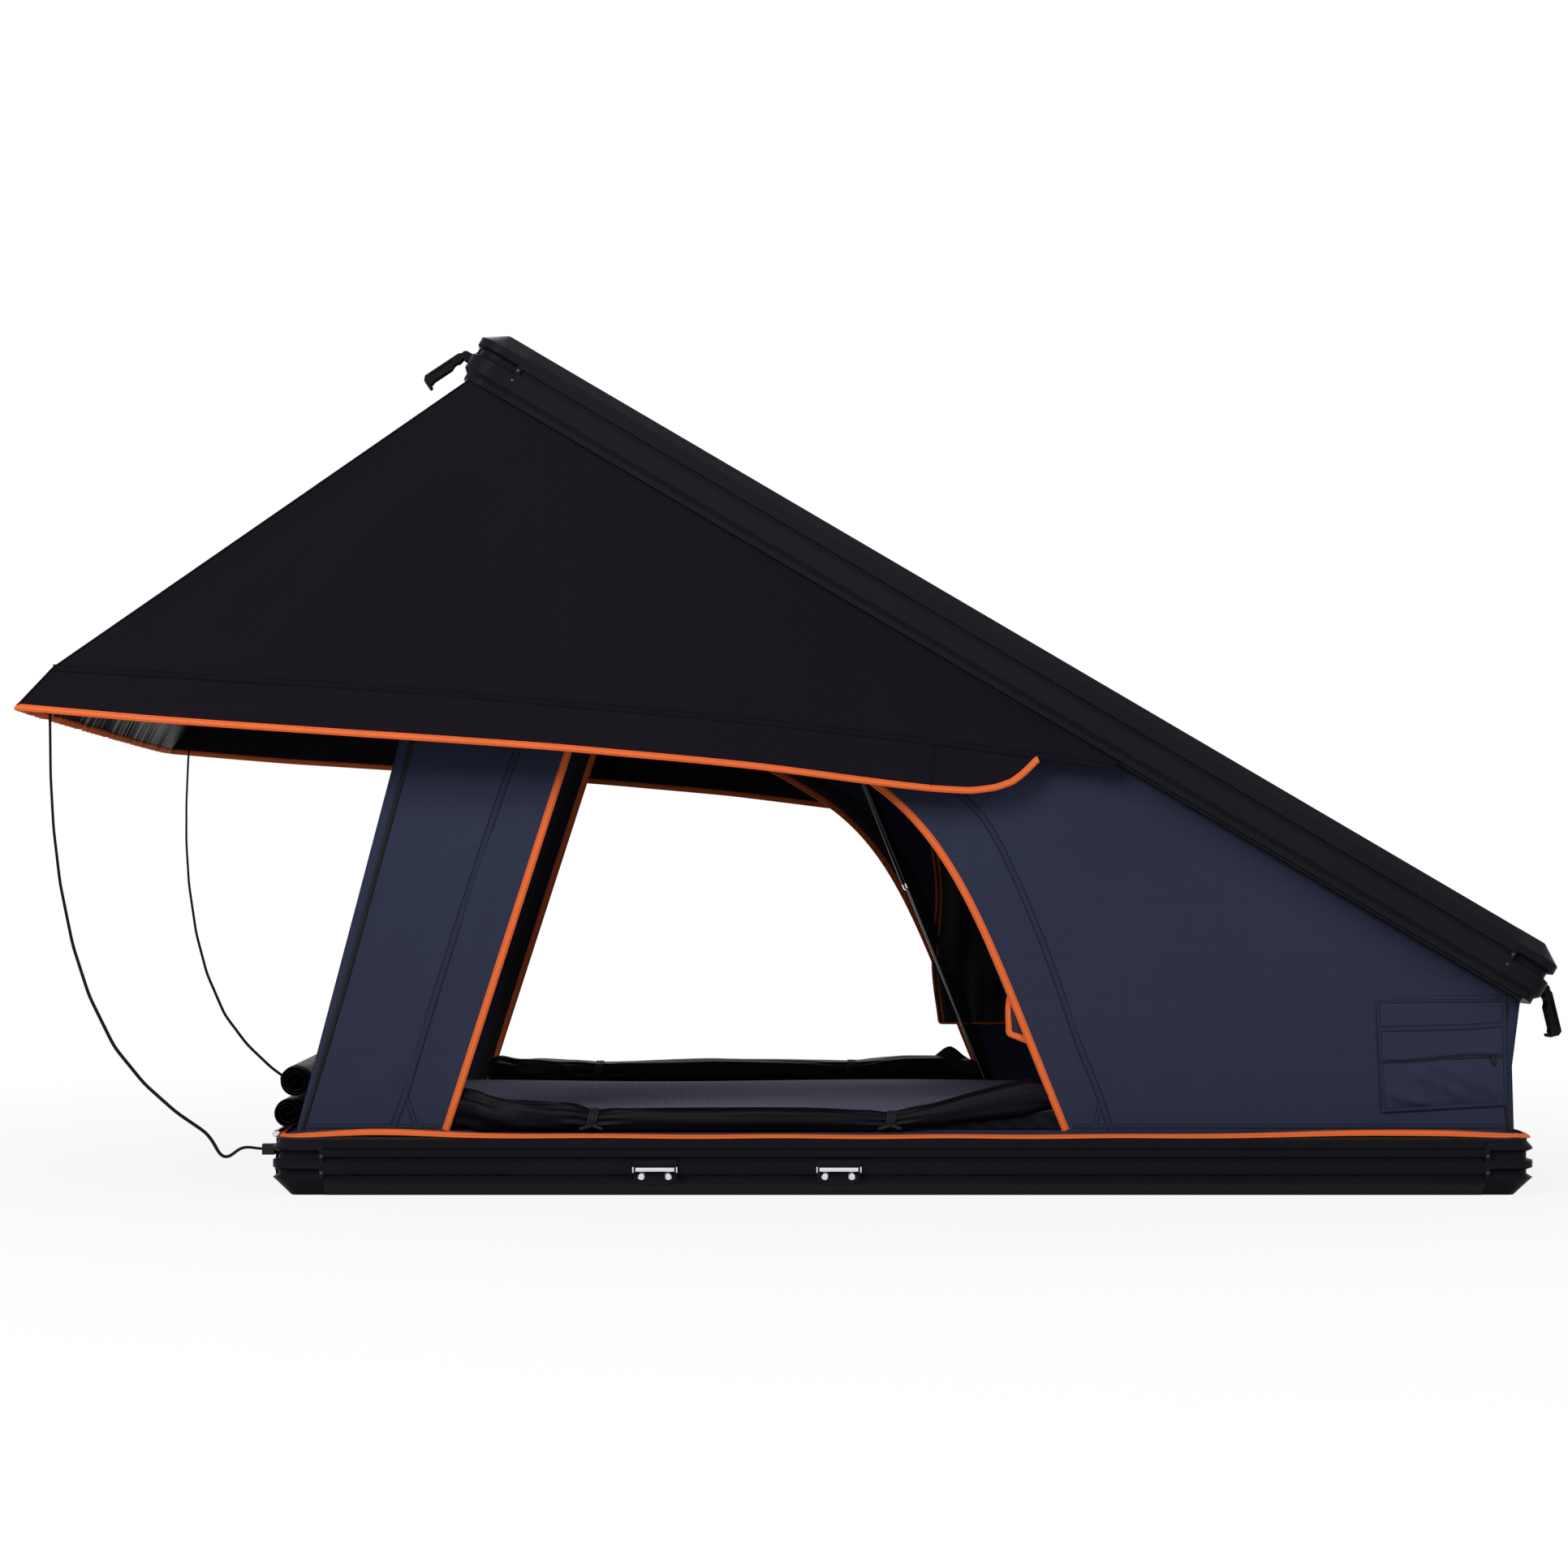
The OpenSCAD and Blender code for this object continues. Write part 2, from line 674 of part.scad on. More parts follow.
// Bracket inside the lid's side rail that carries a strut's upper eye on a pin
module strut_lid_brackets() {
    rail_face = lid_w / 2 - lid_rail_d;
    plate_t = strut_plate_t;
    plate_w = 5.5 * eye_r;
    plate_h = 4.2 * eye_r;
    arm_w = 2.2 * eye_r;
    arm_y = strut_y + eye_t / 2 + 2;
    color(steel) on_lid() both_sides() {
        translate([-strut_lid_a - plate_w / 2, rail_face - plate_t, flange_t + 2])
            cube([plate_w, plate_t, plate_h]);
        translate([-strut_lid_a - arm_w / 2, arm_y, flange_t + 2])
            cube([arm_w, rail_face - plate_t - arm_y, strut_lid_b + 10 - flange_t]);
        translate([-strut_lid_a, strut_y, strut_lid_b])
            pin(-eye_t / 2 - touch, eye_t / 2 + 2, stay_head_t, 0);
    }
}

// Strut pieces lie along +X from the lid pivot at the origin
module along_strut() {
    both_sides() translate([strut_top[0], strut_y, strut_top[1]]) rotate([0, strut_angle, 0]) children();
}

module strut_eye(bore) {
    rotate([90, 0, 0]) translate([0, 0, -eye_t / 2]) linear_extrude(eye_t) difference() {
        circle(r = eye_r);
        circle(r = bore);
    }
}

tube_bore = tube_r - 2;
module strut_tubes() {
    color("#202024") along_strut() {
        difference() {
            union() {
                strut_eye(pin_r + run);
                translate([eye_r - 2, 0, 0]) rotate([0, 90, 0]) cylinder(r = eye_t / 2 - 0.5, h = 12);
                translate([eye_r + 8, 0, 0]) rotate([0, 90, 0]) cylinder(r = tube_r, h = tube_len);
            }
            translate([eye_r + 24, 0, 0]) rotate([0, 90, 0])
                cylinder(r = tube_bore, h = tube_len - 16 - gland_len);
            translate([eye_r + 30, 0, 0]) rotate([0, 90, 0]) cylinder(r = rod_r + run, h = tube_len);
        }
    }
}

tube_end = eye_r + 8 + tube_len;
module strut_collars() {
    color(chrome) along_strut() translate([tube_end, 0, 0]) rotate([0, 90, 0]) rotate_extrude()
        polygon([
            [rod_r + run, 0], [tube_r, 0], [tube_r, collar_len - 4],
            [tube_r - 3, collar_len], [rod_r + run, collar_len]
        ]);
}

module strut_rods() {
    piston_len = 10;
    rod_start = tube_end - gland_len - rod_inside;
    color("#9a9aa0") along_strut() translate([rod_start, 0, 0]) rotate([0, 90, 0]) rotate_extrude()
        polygon([
            [0, 0], [tube_bore - run, 0], [tube_bore - run, piston_len], [rod_r, piston_len],
            [rod_r, strut_len - eye_r - 8 - rod_start], [0, strut_len - eye_r - 8 - rod_start]
        ]);
}

// Lower ends of the struts: an eye with a stud that faces the bracket's plate
module strut_rod_ends() {
    color(part_black) along_strut() translate([strut_len, 0, 0]) {
        difference() {
            union() {
                rotate([90, 0, 0]) translate([0, 0, -eye_t / 2]) cylinder(r = eye_r - 1, h = eye_t);
                translate([-eye_r - 18, 0, 0]) rotate([0, 90, 0]) cylinder(r = eye_t / 2 - 0.5, h = 20);
            }
            translate([-eye_r - 19, 0, 0]) rotate([0, 90, 0]) cylinder(r = rod_r + 0.05, h = 11);
        }
        rotate([-90, 0, 0]) cylinder(r = pin_r, h = eye_t / 2 + 6 - touch);
    }
}

// Latch plate on the head end of the lid, centred on y = 0, with two ears and a pin
latch_y = lid_w / 2 - corner_len - latch_in;
latch_plate_t = 3;
latch_pin_r = 3;
latch_ear_t = 3;
module latch_plate() {
    half = latch_w / 2 + latch_ear_t + touch;
    translate([-lid_len / 2 - latch_plate_t, -half, latch_b - 14])
        cube([latch_plate_t, 2 * half, lid_h - top_chamfer_h - latch_b + 8]);
    for (y = [-half, half - latch_ear_t])
        translate([-lid_len / 2 - latch_out, y, latch_b]) {
            rotate([-90, 0, 0]) cylinder(r = 7, h = latch_ear_t);
            translate([0, 0, -7]) cube([latch_out - latch_plate_t, latch_ear_t, 14]);
        }
    translate([-lid_len / 2 - latch_out, -half, latch_b]) rotate([-90, 0, 0])
        cylinder(r = latch_pin_r, h = 2 * half);
}

module latch_plates() {
    color(part_black) on_lid() both_ends() both_sides() translate([0, latch_y, 0]) latch_plate();
}

// Latch hook that hangs along -Z from its pin, with its nose towards +X, seen from the side
// Its length is set so that the nose drops into the upper channel of the closed base
latch_arm_t = 10;
latch_inner = 6;
latch_recess = 2.5;
latch_len = seam_z + latch_b - channel_top_z - 1.25;
latch_nose = latch_out - lid_margin / 2 + channel_d - 1;
module latch_hook() {
    nose_t = channel_h - 2.5;
    half = latch_w / 2;
    color("#26252a") difference() {
        union() {
            translate([0, -half, 0]) rotate([-90, 0, 0]) cylinder(r = 7, h = latch_w);
            upright(-half, latch_w) polygon([
                [-5, 0], [0, 0], [4, -15], [2, -21], [3, -27], [latch_inner, -33],
                [latch_inner, -latch_len + 14], [latch_inner + 2, -latch_len + nose_t + 2],
                [latch_inner + 2, -latch_len + 4], [latch_nose - 3, -latch_len + 4],
                [latch_nose - 2, -latch_len + nose_t],
                [latch_nose, -latch_len + nose_t - 1], [latch_nose, -latch_len + 1.5],
                [latch_nose - 2, -latch_len], [-4, -latch_len],
                [-latch_arm_t, -latch_len + 6], [-latch_arm_t, -10], [-7, -3]
            ]);
        }
        for (y = [-half - 1, half - latch_recess]) upright(y, latch_recess + 1) polygon([
            [-latch_arm_t + 3, -latch_len + 14], [latch_inner - 4, -latch_len + 14],
            [latch_inner - 3, -34], [-1, -24], [-latch_arm_t + 4, -24]
        ]);
        translate([0, -half - 1, 0]) rotate([-90, 0, 0]) cylinder(r = latch_pin_r + run, h = latch_w + 2);
    }
}

module head_latch() {
    translate([-lid_len / 2 - latch_out, -latch_y, latch_b]) rotate([0, head_latch_swing, 0]) latch_hook();
}

module foot_latch() {
    mirror([1, 0, 0]) translate([-lid_len / 2 - latch_out, -latch_y, latch_b])
        rotate([0, foot_latch_swing, 0]) latch_hook();
}

module latch_head_near() {
    on_lid() head_latch();
}

module latch_head_far() {
    on_lid() mirror([0, 1, 0]) head_latch();
}

module latch_foot_near() {
    on_lid() foot_latch();
}

module latch_foot_far() {
    on_lid() mirror([0, 1, 0]) foot_latch();
}

module lid_rail_near() {
    color(shell_black) on_lid() rail(lid_len - 2 * corner_len, lid_w) lid_profile();
}

module lid_rail_far() {
    color(shell_black) on_lid() mirror([0, 1, 0]) rail(lid_len - 2 * corner_len, lid_w) lid_profile();
}

module lid_rail_head() {
    color(shell_black) on_lid() rotate([0, 0, -90]) rail(lid_w - 2 * corner_len, lid_len) lid_profile();
}

module lid_rail_foot() {
    color(shell_black) on_lid() rotate([0, 0, 90]) rail(lid_w - 2 * corner_len, lid_len) lid_profile();
}

module lid_corners() {
    color(part_black) on_lid() both_ends() both_sides()
        corner(lid_len, lid_w, lid_corner_outline, lid_rib_outline);
}

module lid_corner_screws() {
    color(chrome) on_lid() both_ends() both_sides()
        corner_screw_set(lid_len, lid_w, [groove_z - 14, groove_z + groove_h / 2]);
}

// Panel let in between the rails' top flanges, with shallow ribs along it
roof_rib_w = 40;
roof_rib_h = 2;
roof_rib_pitch = 200;
module roof_panel() {
    side = lid_rail_d + roof_t;
    rib_count = floor((lid_w / 2 - side - roof_rib_w) / roof_rib_pitch);
    color("#26262b") on_lid() translate([0, 0, lid_h - roof_t]) {
        translate([-lid_len / 2 + side, -lid_w / 2 + side, 0])
            cube([lid_len - 2 * side, lid_w - 2 * side, roof_t - roof_rib_h]);
        for (i = [-rib_count : rib_count])
            translate([-lid_len / 2 + side + 30, i * roof_rib_pitch - roof_rib_w / 2, roof_t - roof_rib_h])
                cube([lid_len - 2 * side - 60, roof_rib_w, roof_rib_h]);
    }
}

module lid_lining() {
    side = corner_d + 4;
    color("#3c3f48") on_lid() translate([-lid_len / 2 + side, -lid_w / 2 + side, lid_h - roof_t - lining_t])
        cube([lid_len - 2 * side, lid_w - 2 * side, lining_t]);
}

// Cloth side wall: a wedge up to the lid, with an arched door
wall_head_a = -lid_len / 2 + 60;
wall_foot_a = lid_len / 2 - 36;
wall_head_foot = [head_x + head_wall_in, wall_foot_z];
wall_head_top = lid_point(wall_head_a, -touch);
wall_foot_top = lid_point(wall_foot_a, -touch);
wall_foot_foot = [foot_x - foot_wall_in, wall_foot_z];
door_z = wall_foot_z + sill_h;

function bezier(p, t) = pow(1 - t, 3) * p[0] + 3 * t * pow(1 - t, 2) * p[1]
    + 3 * t * t * (1 - t) * p[2] + pow(t, 3) * p[3];
function bezier_run(p, n) = [for (i = [0 : n - 1]) bezier(p, i / n)];

door_steps = 8;
door_arch = [[279, door_z], [150, 420], [100, 600], [-60, 705]];
door_top = [[-60, 705], [-160, 770], [-330, 860], [-440, 880]];
door_corner = [[-440, 880], [-510, 893], [-528, 862], [-550, 800]];
door_head_foot = [-774, door_z];
door_outline = concat(
    bezier_run(door_arch, door_steps), bezier_run(door_top, door_steps),
    bezier_run(door_corner, door_steps), [door_corner[3], door_head_foot]
);

module side_wall() {
    upright(-wall_y - cloth_t / 2, cloth_t) difference() {
        polygon([wall_head_foot, wall_foot_foot, wall_foot_top, wall_head_top]);
        polygon(door_outline);
    }
}

module wall_near() {
    color(navy) side_wall();
}

module wall_far() {
    color(navy) mirror([0, 1, 0]) side_wall();
}

// Flat cloth across an end: an outline of (Y, height along the slope), from foot to top
module end_cloth(foot, top) {
    slope = atan2(top[0] - foot[0], top[1] - foot[1]);
    translate([foot[0], 0, foot[1]]) rotate([0, slope, 0]) rotate([90, 0, 90])
        linear_extrude(cloth_t) children();
}

function slant(p, q) = sqrt(pow(q[0] - p[0], 2) + pow(q[1] - p[1], 2));
end_half = wall_y - cloth_t / 2 - touch;

module wall_foot() {
    h = slant(wall_foot_foot, wall_foot_top) - 1;
    color(navy) end_cloth(wall_foot_foot - [cloth_t, 0], wall_foot_top - [cloth_t, 0])
        translate([-end_half, 0]) square([2 * end_half, h]);
}

module wall_head() {
    foot_lift = 0.6;
    h = slant(wall_head_foot, wall_head_top) - 2;
    sill = 60;
    color(navy) end_cloth(wall_head_foot + [1, foot_lift], wall_head_top + [1, 0]) difference() {
        translate([-end_half, 0]) square([2 * end_half, h]);
        translate([-end_half + head_frame_w, sill])
            square([2 * (end_half - head_frame_w), h - sill - head_frame_w]);
    }
}

// Skirt that sheds rain over the top of the base rails
skirt_h = sill_h - 1;
skirt_out = 36;
module skirt_strip(len, y) {
    t = cloth_t + 0.5;
    translate([-len / 2, 0, 0]) rotate([90, 0, 90]) linear_extrude(len) polygon([
        [-y, wall_foot_z + skirt_h], [-y - skirt_out, wall_foot_z + t], [-y - skirt_out, wall_foot_z],
        [-y - skirt_out + 4, wall_foot_z], [-y, wall_foot_z + skirt_h - t]
    ]);
}

module skirt() {
    side_y = wall_y + cloth_t / 2 + touch;
    corner_room = 12;
    color(navy) both_sides() translate([(head_wall_in - foot_wall_in) / 2, 0, 0])
        skirt_strip(base_len - head_wall_in - foot_wall_in - 2 * corner_room, side_y);
}

// Pocket on the near wall by the foot end
pocket_in = 36;
pocket_rise = 40;
pocket_skew = 0.06;
module pocket() {
    t = 5;
    y = -wall_y - cloth_t / 2 - touch - t;
    low = wall_foot_z + pocket_rise;
    right = foot_x - pocket_in;
    color(navy) upright(y, t) polygon([
        [right - pocket_w, low], [right, low + pocket_w * pocket_skew],
        [right - pocket_w * 0.02, low + pocket_h], [right - pocket_w * 1.02, low + pocket_h * 1.02]
    ]);
}

// Flap that hangs against the inside of the far wall
flap_x = 165;
flap_z = wall_foot_z + 137;
module inner_flap() {
    t = 3;
    y = wall_y - cloth_t / 2 - touch - t;
    color(part_black) upright(y, t) polygon([
        [flap_x + flap_w * 0.08, flap_z], [flap_x + flap_w * 0.65, flap_z],
        [flap_x + flap_w, flap_z + flap_h * 0.7], [flap_x, flap_z + flap_h]
    ]);
}

// Rolled mesh doors lie on the sills: full at both ends, drawn in between the ties
roll_room = 16;
mesh_roll_head = door_head_foot[0] + roll_room;
mesh_roll_foot = door_arch[0][0] - 1.3 * roll_room;
mesh_roll_mid = -275;
tie_reach = 240;
roll_steps = 40;
function roll_full(x) = pow(min(1, max(0, (abs(x - mesh_roll_mid) - tie_reach + 60) / 190)), 2);
function roll_rings(slack, full) = [
    for (i = [0 : roll_steps])
        let (x = mesh_roll_head + (mesh_roll_foot - mesh_roll_head) * i / roll_steps,
             end = min(1, 0.5 + min(i, roll_steps - i) * 0.2),
             pinch = 1 - 0.2 * exp(-pow((abs(x - mesh_roll_mid) - tie_reach) / 18, 2)),
             h = (slack + (full - slack) * roll_full(x)) * end * pinch, d = min(h * 1.1, mesh_roll_r * 0.85),
             z = door_z + touch + h)
            [for (k = [0 : 11]) [x, -wall_y + d * cos(-k * 30), z + h * sin(-k * 30)]]
];

module mesh_roll_near() {
    color(part_black) loft(roll_rings(20, mesh_roll_r * 1.25));
}

module mesh_roll_far() {
    color(part_black) mirror([0, 1, 0]) loft(roll_rings(24, mesh_roll_r));
}

// Rolled cloth across the head end: a tube with a stepped end where the layers show
module head_roll(x, z, r) {
    half = wall_y - 30;
    bore = r * 0.62;
    color(part_black) translate([x, 0, z]) rotate([90, 0, 0]) rotate_extrude() polygon([
        [bore, -half + 12], [r - 4, -half], [r, -half + 3], [r, half - 3], [r - 4, half], [bore, half - 12]
    ]);
}

// Place of the head wall's outer face at height z
head_slope = atan2(wall_head_top[0] - wall_head_foot[0], wall_head_top[1] - wall_head_foot[1]);
function head_face(z) = wall_head_foot[0] + 1 + (z - wall_foot_z) * tan(head_slope);
band_t = 1.5;
head_roll_lower_z = base_h + 2 * head_bar_r + head_roll_lower_r + 2;
head_roll_upper_z = head_roll_lower_z + head_roll_lower_r + head_roll_upper_r + 5;
head_roll_lower_x = head_face(head_roll_lower_z) - (head_roll_lower_r + band_t + 2 * touch) / cos(head_slope);
head_roll_upper_x = head_face(head_roll_upper_z) - (head_roll_upper_r + band_t + 2 * touch) / cos(head_slope);
module head_roll_upper() {
    head_roll(head_roll_upper_x, head_roll_upper_z, head_roll_upper_r);
}

module head_roll_lower() {
    head_roll(head_roll_lower_x, head_roll_lower_z, head_roll_lower_r);
}

// Webbing bands that hold the head rolls to the head wall
tie_w = 24;
module roll_ties() {
    half = wall_y - 30;
    places = [-half + 12, half - 36];
    color(part_black) for (y = places) for (s = [
        [head_roll_upper_x, head_roll_upper_z, head_roll_upper_r],
        [head_roll_lower_x, head_roll_lower_z, head_roll_lower_r]
    ]) translate([s[0], y + tie_w, s[1]]) rotate([90, 0, 0]) linear_extrude(tie_w) difference() {
        circle(r = s[2] + touch + band_t);
        circle(r = s[2] + touch);
    }
}

// Fly: stations from the front to the back, each with its place along the lid, its seam and its hem
// Seams and hems are [distance behind the front seam, distance out from the lid's lip, height over that seam]
fly_lid_head = -lid_len / 2 + 21;
fly_lid_in = 14;
fly_lid_y = lid_w / 2 - fly_lid_in;
fly_front_x = head_x - fly_reach;
fly_front_z = lid_point(fly_lid_head, 0)[1] - fly_drop;
function fly_place(p) = [fly_front_x + p[0], fly_lid_y + p[1], fly_front_z + p[2]];
fly_front_seam = fly_place([0, fly_flare - 10, 0]);
fly_front_hem = fly_place([-59, fly_flare, -valance_h]);
fly_rows = [
    [30, [192, 96, -11], [182, 108, -90]],
    [130, [512, 74, -31], [502, 88, -111]],
    [330, [832, 56, -53], [822, 70, -132]],
    [580, [1162, 36, -77], [1150, 46, -162]],
    [830, [1412, 20, -102], [1397, 28, -193]],
    [960, [1522, 14, -118], [1482, 20, -201]],
    [1080, [1612, 10, -132], [1562, 13, -199]],
    [1180, [1682, 8, -143], [1607, 10, -183]],
    [1270, [1762, 6, -157], [1648, 6, -151]]
];
fly_stations = concat(
    [[fly_lid_head, fly_front_seam, fly_front_hem]],
    [for (r = fly_rows) [fly_lid_head + r[0], fly_place(r[1]), fly_place(r[2])]]
);

function lid_edge(a, y) = let (p = lid_point(a, -touch)) [p[0], y, p[1]];
function mix(p, q, t) = p + (q - p) * t;

// Points down one station from the lid to the hem, with a ripple that grows towards the hem
fly_upper_rows = 6;
fly_lower_rows = 3;
function station_points(s, phase) = concat(
    [for (i = [0 : fly_upper_rows]) let (t = i / fly_upper_rows)
        mix(lid_edge(s[0], fly_lid_y), s[1], t) + [0, ripple * t * t * sin(phase), 0]],
    [for (i = [1 : fly_lower_rows]) let (t = i / fly_lower_rows)
        mix(s[1], s[2], t) + [0, ripple * (1 + t) * sin(phase), 0]]
);

// Smooth in-between stations
fly_between = 3;
function station_mix(p, q, t) = [mix(p[0], q[0], t), mix(p[1], q[1], t), mix(p[2], q[2], t)];
function fly_grid() = [
    for (i = [0 : len(fly_stations) - 2], k = [0 : fly_between - 1])
        let (row = station_mix(fly_stations[i], fly_stations[i + 1], k / fly_between))
        station_points(row, (i * fly_between + k) * 75),
    station_points(fly_stations[len(fly_stations) - 1], 0)
];

// Thin solid over a grid of points, thickened along a direction
module cloth(grid, thick) {
    m = len(grid);
    n = len(grid[0]);
    top = [for (r = grid) each r];
    under = [for (p = top) p + thick];
    c = m * n;
    quads = [
        for (i = [0 : m - 2], j = [0 : n - 2])
            let (a = i * n + j) [a, a + 1, a + n + 1, a + n]
    ];
    upper_faces = [for (q = quads) each [[q[0], q[1], q[2]], [q[0], q[2], q[3]]]];
    lower_faces = [for (q = quads) each [[q[2] + c, q[1] + c, q[0] + c], [q[3] + c, q[2] + c, q[0] + c]]];
    rim = concat(
        [for (j = [0 : n - 1]) j], [for (i = [1 : m - 1]) i * n + n - 1],
        [for (j = [n - 2 : -1 : 0]) (m - 1) * n + j], [for (i = [m - 2 : -1 : 1]) i * n]
    );
    w = len(rim);
    rim_faces = [for (k = [0 : w - 1]) let (p = rim[k], q = rim[(k + 1) % w])
        each [[q, p, p + c], [q, p + c, q + c]]];
    polyhedron(points = concat(top, under), faces = concat(upper_faces, lower_faces, rim_faces));
}

module fly_far() {
    color(part_black) cloth(fly_grid(), [0, cloth_t, 0]);
}

module fly_near() {
    color(part_black) mirror([0, 1, 0]) cloth(fly_grid(), [0, cloth_t, 0]);
}

// Front panel from side to side, with a sag between its corners
fly_front_columns = 24;
fly_front_sag = 18;
fly_front_gap = 5;
function front_station(u) =
    let (sag = fly_front_sag * (1 - u * u), top_y = u * (fly_lid_y - fly_front_gap),
         seam_y = u * (fly_front_seam[1] - fly_front_gap), hem_y = u * (fly_front_hem[1] - fly_front_gap),
         lid = lid_edge(fly_lid_head, top_y),
         seam = [fly_front_seam[0] + sag, seam_y, fly_front_seam[2] - sag * 0.4],
         hem = [fly_front_hem[0] + 2 * sag, hem_y, fly_front_hem[2] - sag * 0.6])
    concat(
        [for (i = [0 : fly_upper_rows]) let (t = i / fly_upper_rows)
            mix(lid, seam, t) + [sag * 0.5 * sin(180 * t), 0, -sag * 0.4 * sin(180 * t)]],
        [for (i = [1 : fly_lower_rows]) mix(seam, hem, i / fly_lower_rows)]
    );

module fly_front() {
    grid = [for (i = [0 : fly_front_columns]) front_station(2 * i / fly_front_columns - 1)];
    color(part_black) cloth(grid, [-cloth_t, 0, cloth_t * 0.6]);
}

// Awning rod: a bent spring-steel rod from its socket up to the fly's front corner
// Points are [distance out from the head end, distance out from the socket, height over the socket]
rod_steps = [
    [7, 0, 0], [25, 0, 0], [41, 0, 3], [55, 0, 5], [65, 0, -2], [74, 0, -12], [82, 1, -17], [90, 1, -15],
    [96, 2, -7], [101, 2, 6], [115, 3, 27], [140, 5, 44], [167, 8, 63], [220, 16, 112], [269, 26, 175],
    [309, 40, 262], [334, 54, 348], [352, 71, 452], [360, 86, 544], [362, 100, 628], [360, 117, 735],
    [355, 123, 776]
];
rod_route = [for (p = rod_steps) [head_x - p[0], socket_y + p[1], socket_z + p[2]]];
rod_sides = 8;
function unit(v) = v / norm(v);
function rod_ring(i) =
    let (n = len(rod_route) - 1, d = unit(rod_route[min(i + 1, n)] - rod_route[max(i - 1, 0)]),
         u = unit(cross(d, [0, 1, 0])), v = cross(d, u))
        [for (k = [0 : rod_sides - 1])
            rod_route[i] + awning_rod_r * (cos(k * 360 / rod_sides) * u + sin(k * 360 / rod_sides) * v)];

module awning_rod() {
    loft([for (i = [0 : len(rod_route) - 1]) rod_ring(i)]);
}

module awning_rod_far() {
    color(steel) awning_rod();
}

module awning_rod_near() {
    color(steel) mirror([0, 1, 0]) awning_rod();
}

base_rail_near();
base_rail_far();
base_rail_head();
base_rail_foot();
base_corners();
base_corner_screws();
floor_panel();
mounting_bars();
base_seal();
mattress();
ladder_plates();
ladder_pins();
ladder_bolts();
rod_sockets();
head_bar();
strut_base_brackets();
stay_base_brackets();
wall_near();
wall_far();
wall_foot();
wall_head();
skirt();
pocket();
inner_flap();
mesh_roll_near();
mesh_roll_far();
head_roll_upper();
head_roll_lower();
roll_ties();
lid_rail_near();
lid_rail_far();
lid_rail_head();
lid_rail_foot();
lid_corners();
lid_corner_screws();
roof_panel();
lid_lining();
lid_seal();
strut_lid_brackets();
stay_lid_brackets();
latch_plates();
fly_near();
fly_far();
fly_front();
lower_stay_links();
knee_pins();
upper_stay_links();
strut_tubes();
strut_collars();
strut_rods();
strut_rod_ends();
latch_head_near();
latch_head_far();
latch_foot_near();
latch_foot_far();
awning_rod_near();
awning_rod_far();
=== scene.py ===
"""Roof top tent, pitched: cloth, rods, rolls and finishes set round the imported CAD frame, in metres."""
import json
import math

import bmesh
import bpy
import numpy as np
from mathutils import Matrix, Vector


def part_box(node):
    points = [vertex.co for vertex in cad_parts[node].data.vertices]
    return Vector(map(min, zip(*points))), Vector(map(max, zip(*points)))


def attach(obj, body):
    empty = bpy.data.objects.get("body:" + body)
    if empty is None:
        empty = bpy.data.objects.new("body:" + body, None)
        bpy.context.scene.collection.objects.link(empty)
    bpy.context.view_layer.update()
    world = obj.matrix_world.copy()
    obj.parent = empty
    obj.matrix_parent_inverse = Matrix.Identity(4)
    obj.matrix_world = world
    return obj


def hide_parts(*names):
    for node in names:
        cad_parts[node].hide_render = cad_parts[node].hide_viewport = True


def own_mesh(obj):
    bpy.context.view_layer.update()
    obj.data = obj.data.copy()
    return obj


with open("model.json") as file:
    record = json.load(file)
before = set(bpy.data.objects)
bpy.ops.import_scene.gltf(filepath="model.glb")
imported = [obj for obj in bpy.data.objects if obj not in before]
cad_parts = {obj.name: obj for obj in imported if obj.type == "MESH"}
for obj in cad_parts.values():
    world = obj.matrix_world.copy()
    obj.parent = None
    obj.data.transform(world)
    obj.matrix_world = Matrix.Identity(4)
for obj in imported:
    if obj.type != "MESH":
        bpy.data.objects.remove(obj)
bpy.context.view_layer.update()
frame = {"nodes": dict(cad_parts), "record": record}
nodes = frame["nodes"]

# Places shared by the pieces: the lid's tilt and middle, the walls, the doors' sill and the lid's lip
LID_TILT = math.radians(30.4)
LID_ORIGIN = (0.160766, 0.850934)
WALL_Y = 0.653
WALL_FOOT_Z = 0.0955
DOOR_Z = 0.1063
LID_LIP_Y = 0.6915
NEAR, FAR = -1, 1

# Thickness of wall cloth; half width and half thickness of tapes and seams
WALL_THICK = 0.0012
BINDING = (0.0066, 0.0022)
WALL_SEAM = (0.0066, 0.0009)
GUSSET_SEAM = (0.005, 0.0008)
HEM_SEAM = (0.0042, 0.0008)

# The photograph's side, focal length and optical axis in its own pixels, and the camera in metres
PHOTO_SIDE = 1932
PHOTO_FOCUS = 3782
PHOTO_AXIS = (806, 1097)
SENSOR_WIDTH = 36.0
CAMERA_PLACE = (-0.42, -5.865, 0.514)


def lid_point(a, b):
    """X and Z of lid coordinates: a runs down the lid from its middle, b stands square to it."""
    c, s = math.cos(LID_TILT), math.sin(LID_TILT)
    return LID_ORIGIN[0] + a * c + b * s, LID_ORIGIN[1] - a * s + b * c


# Camera and lamps

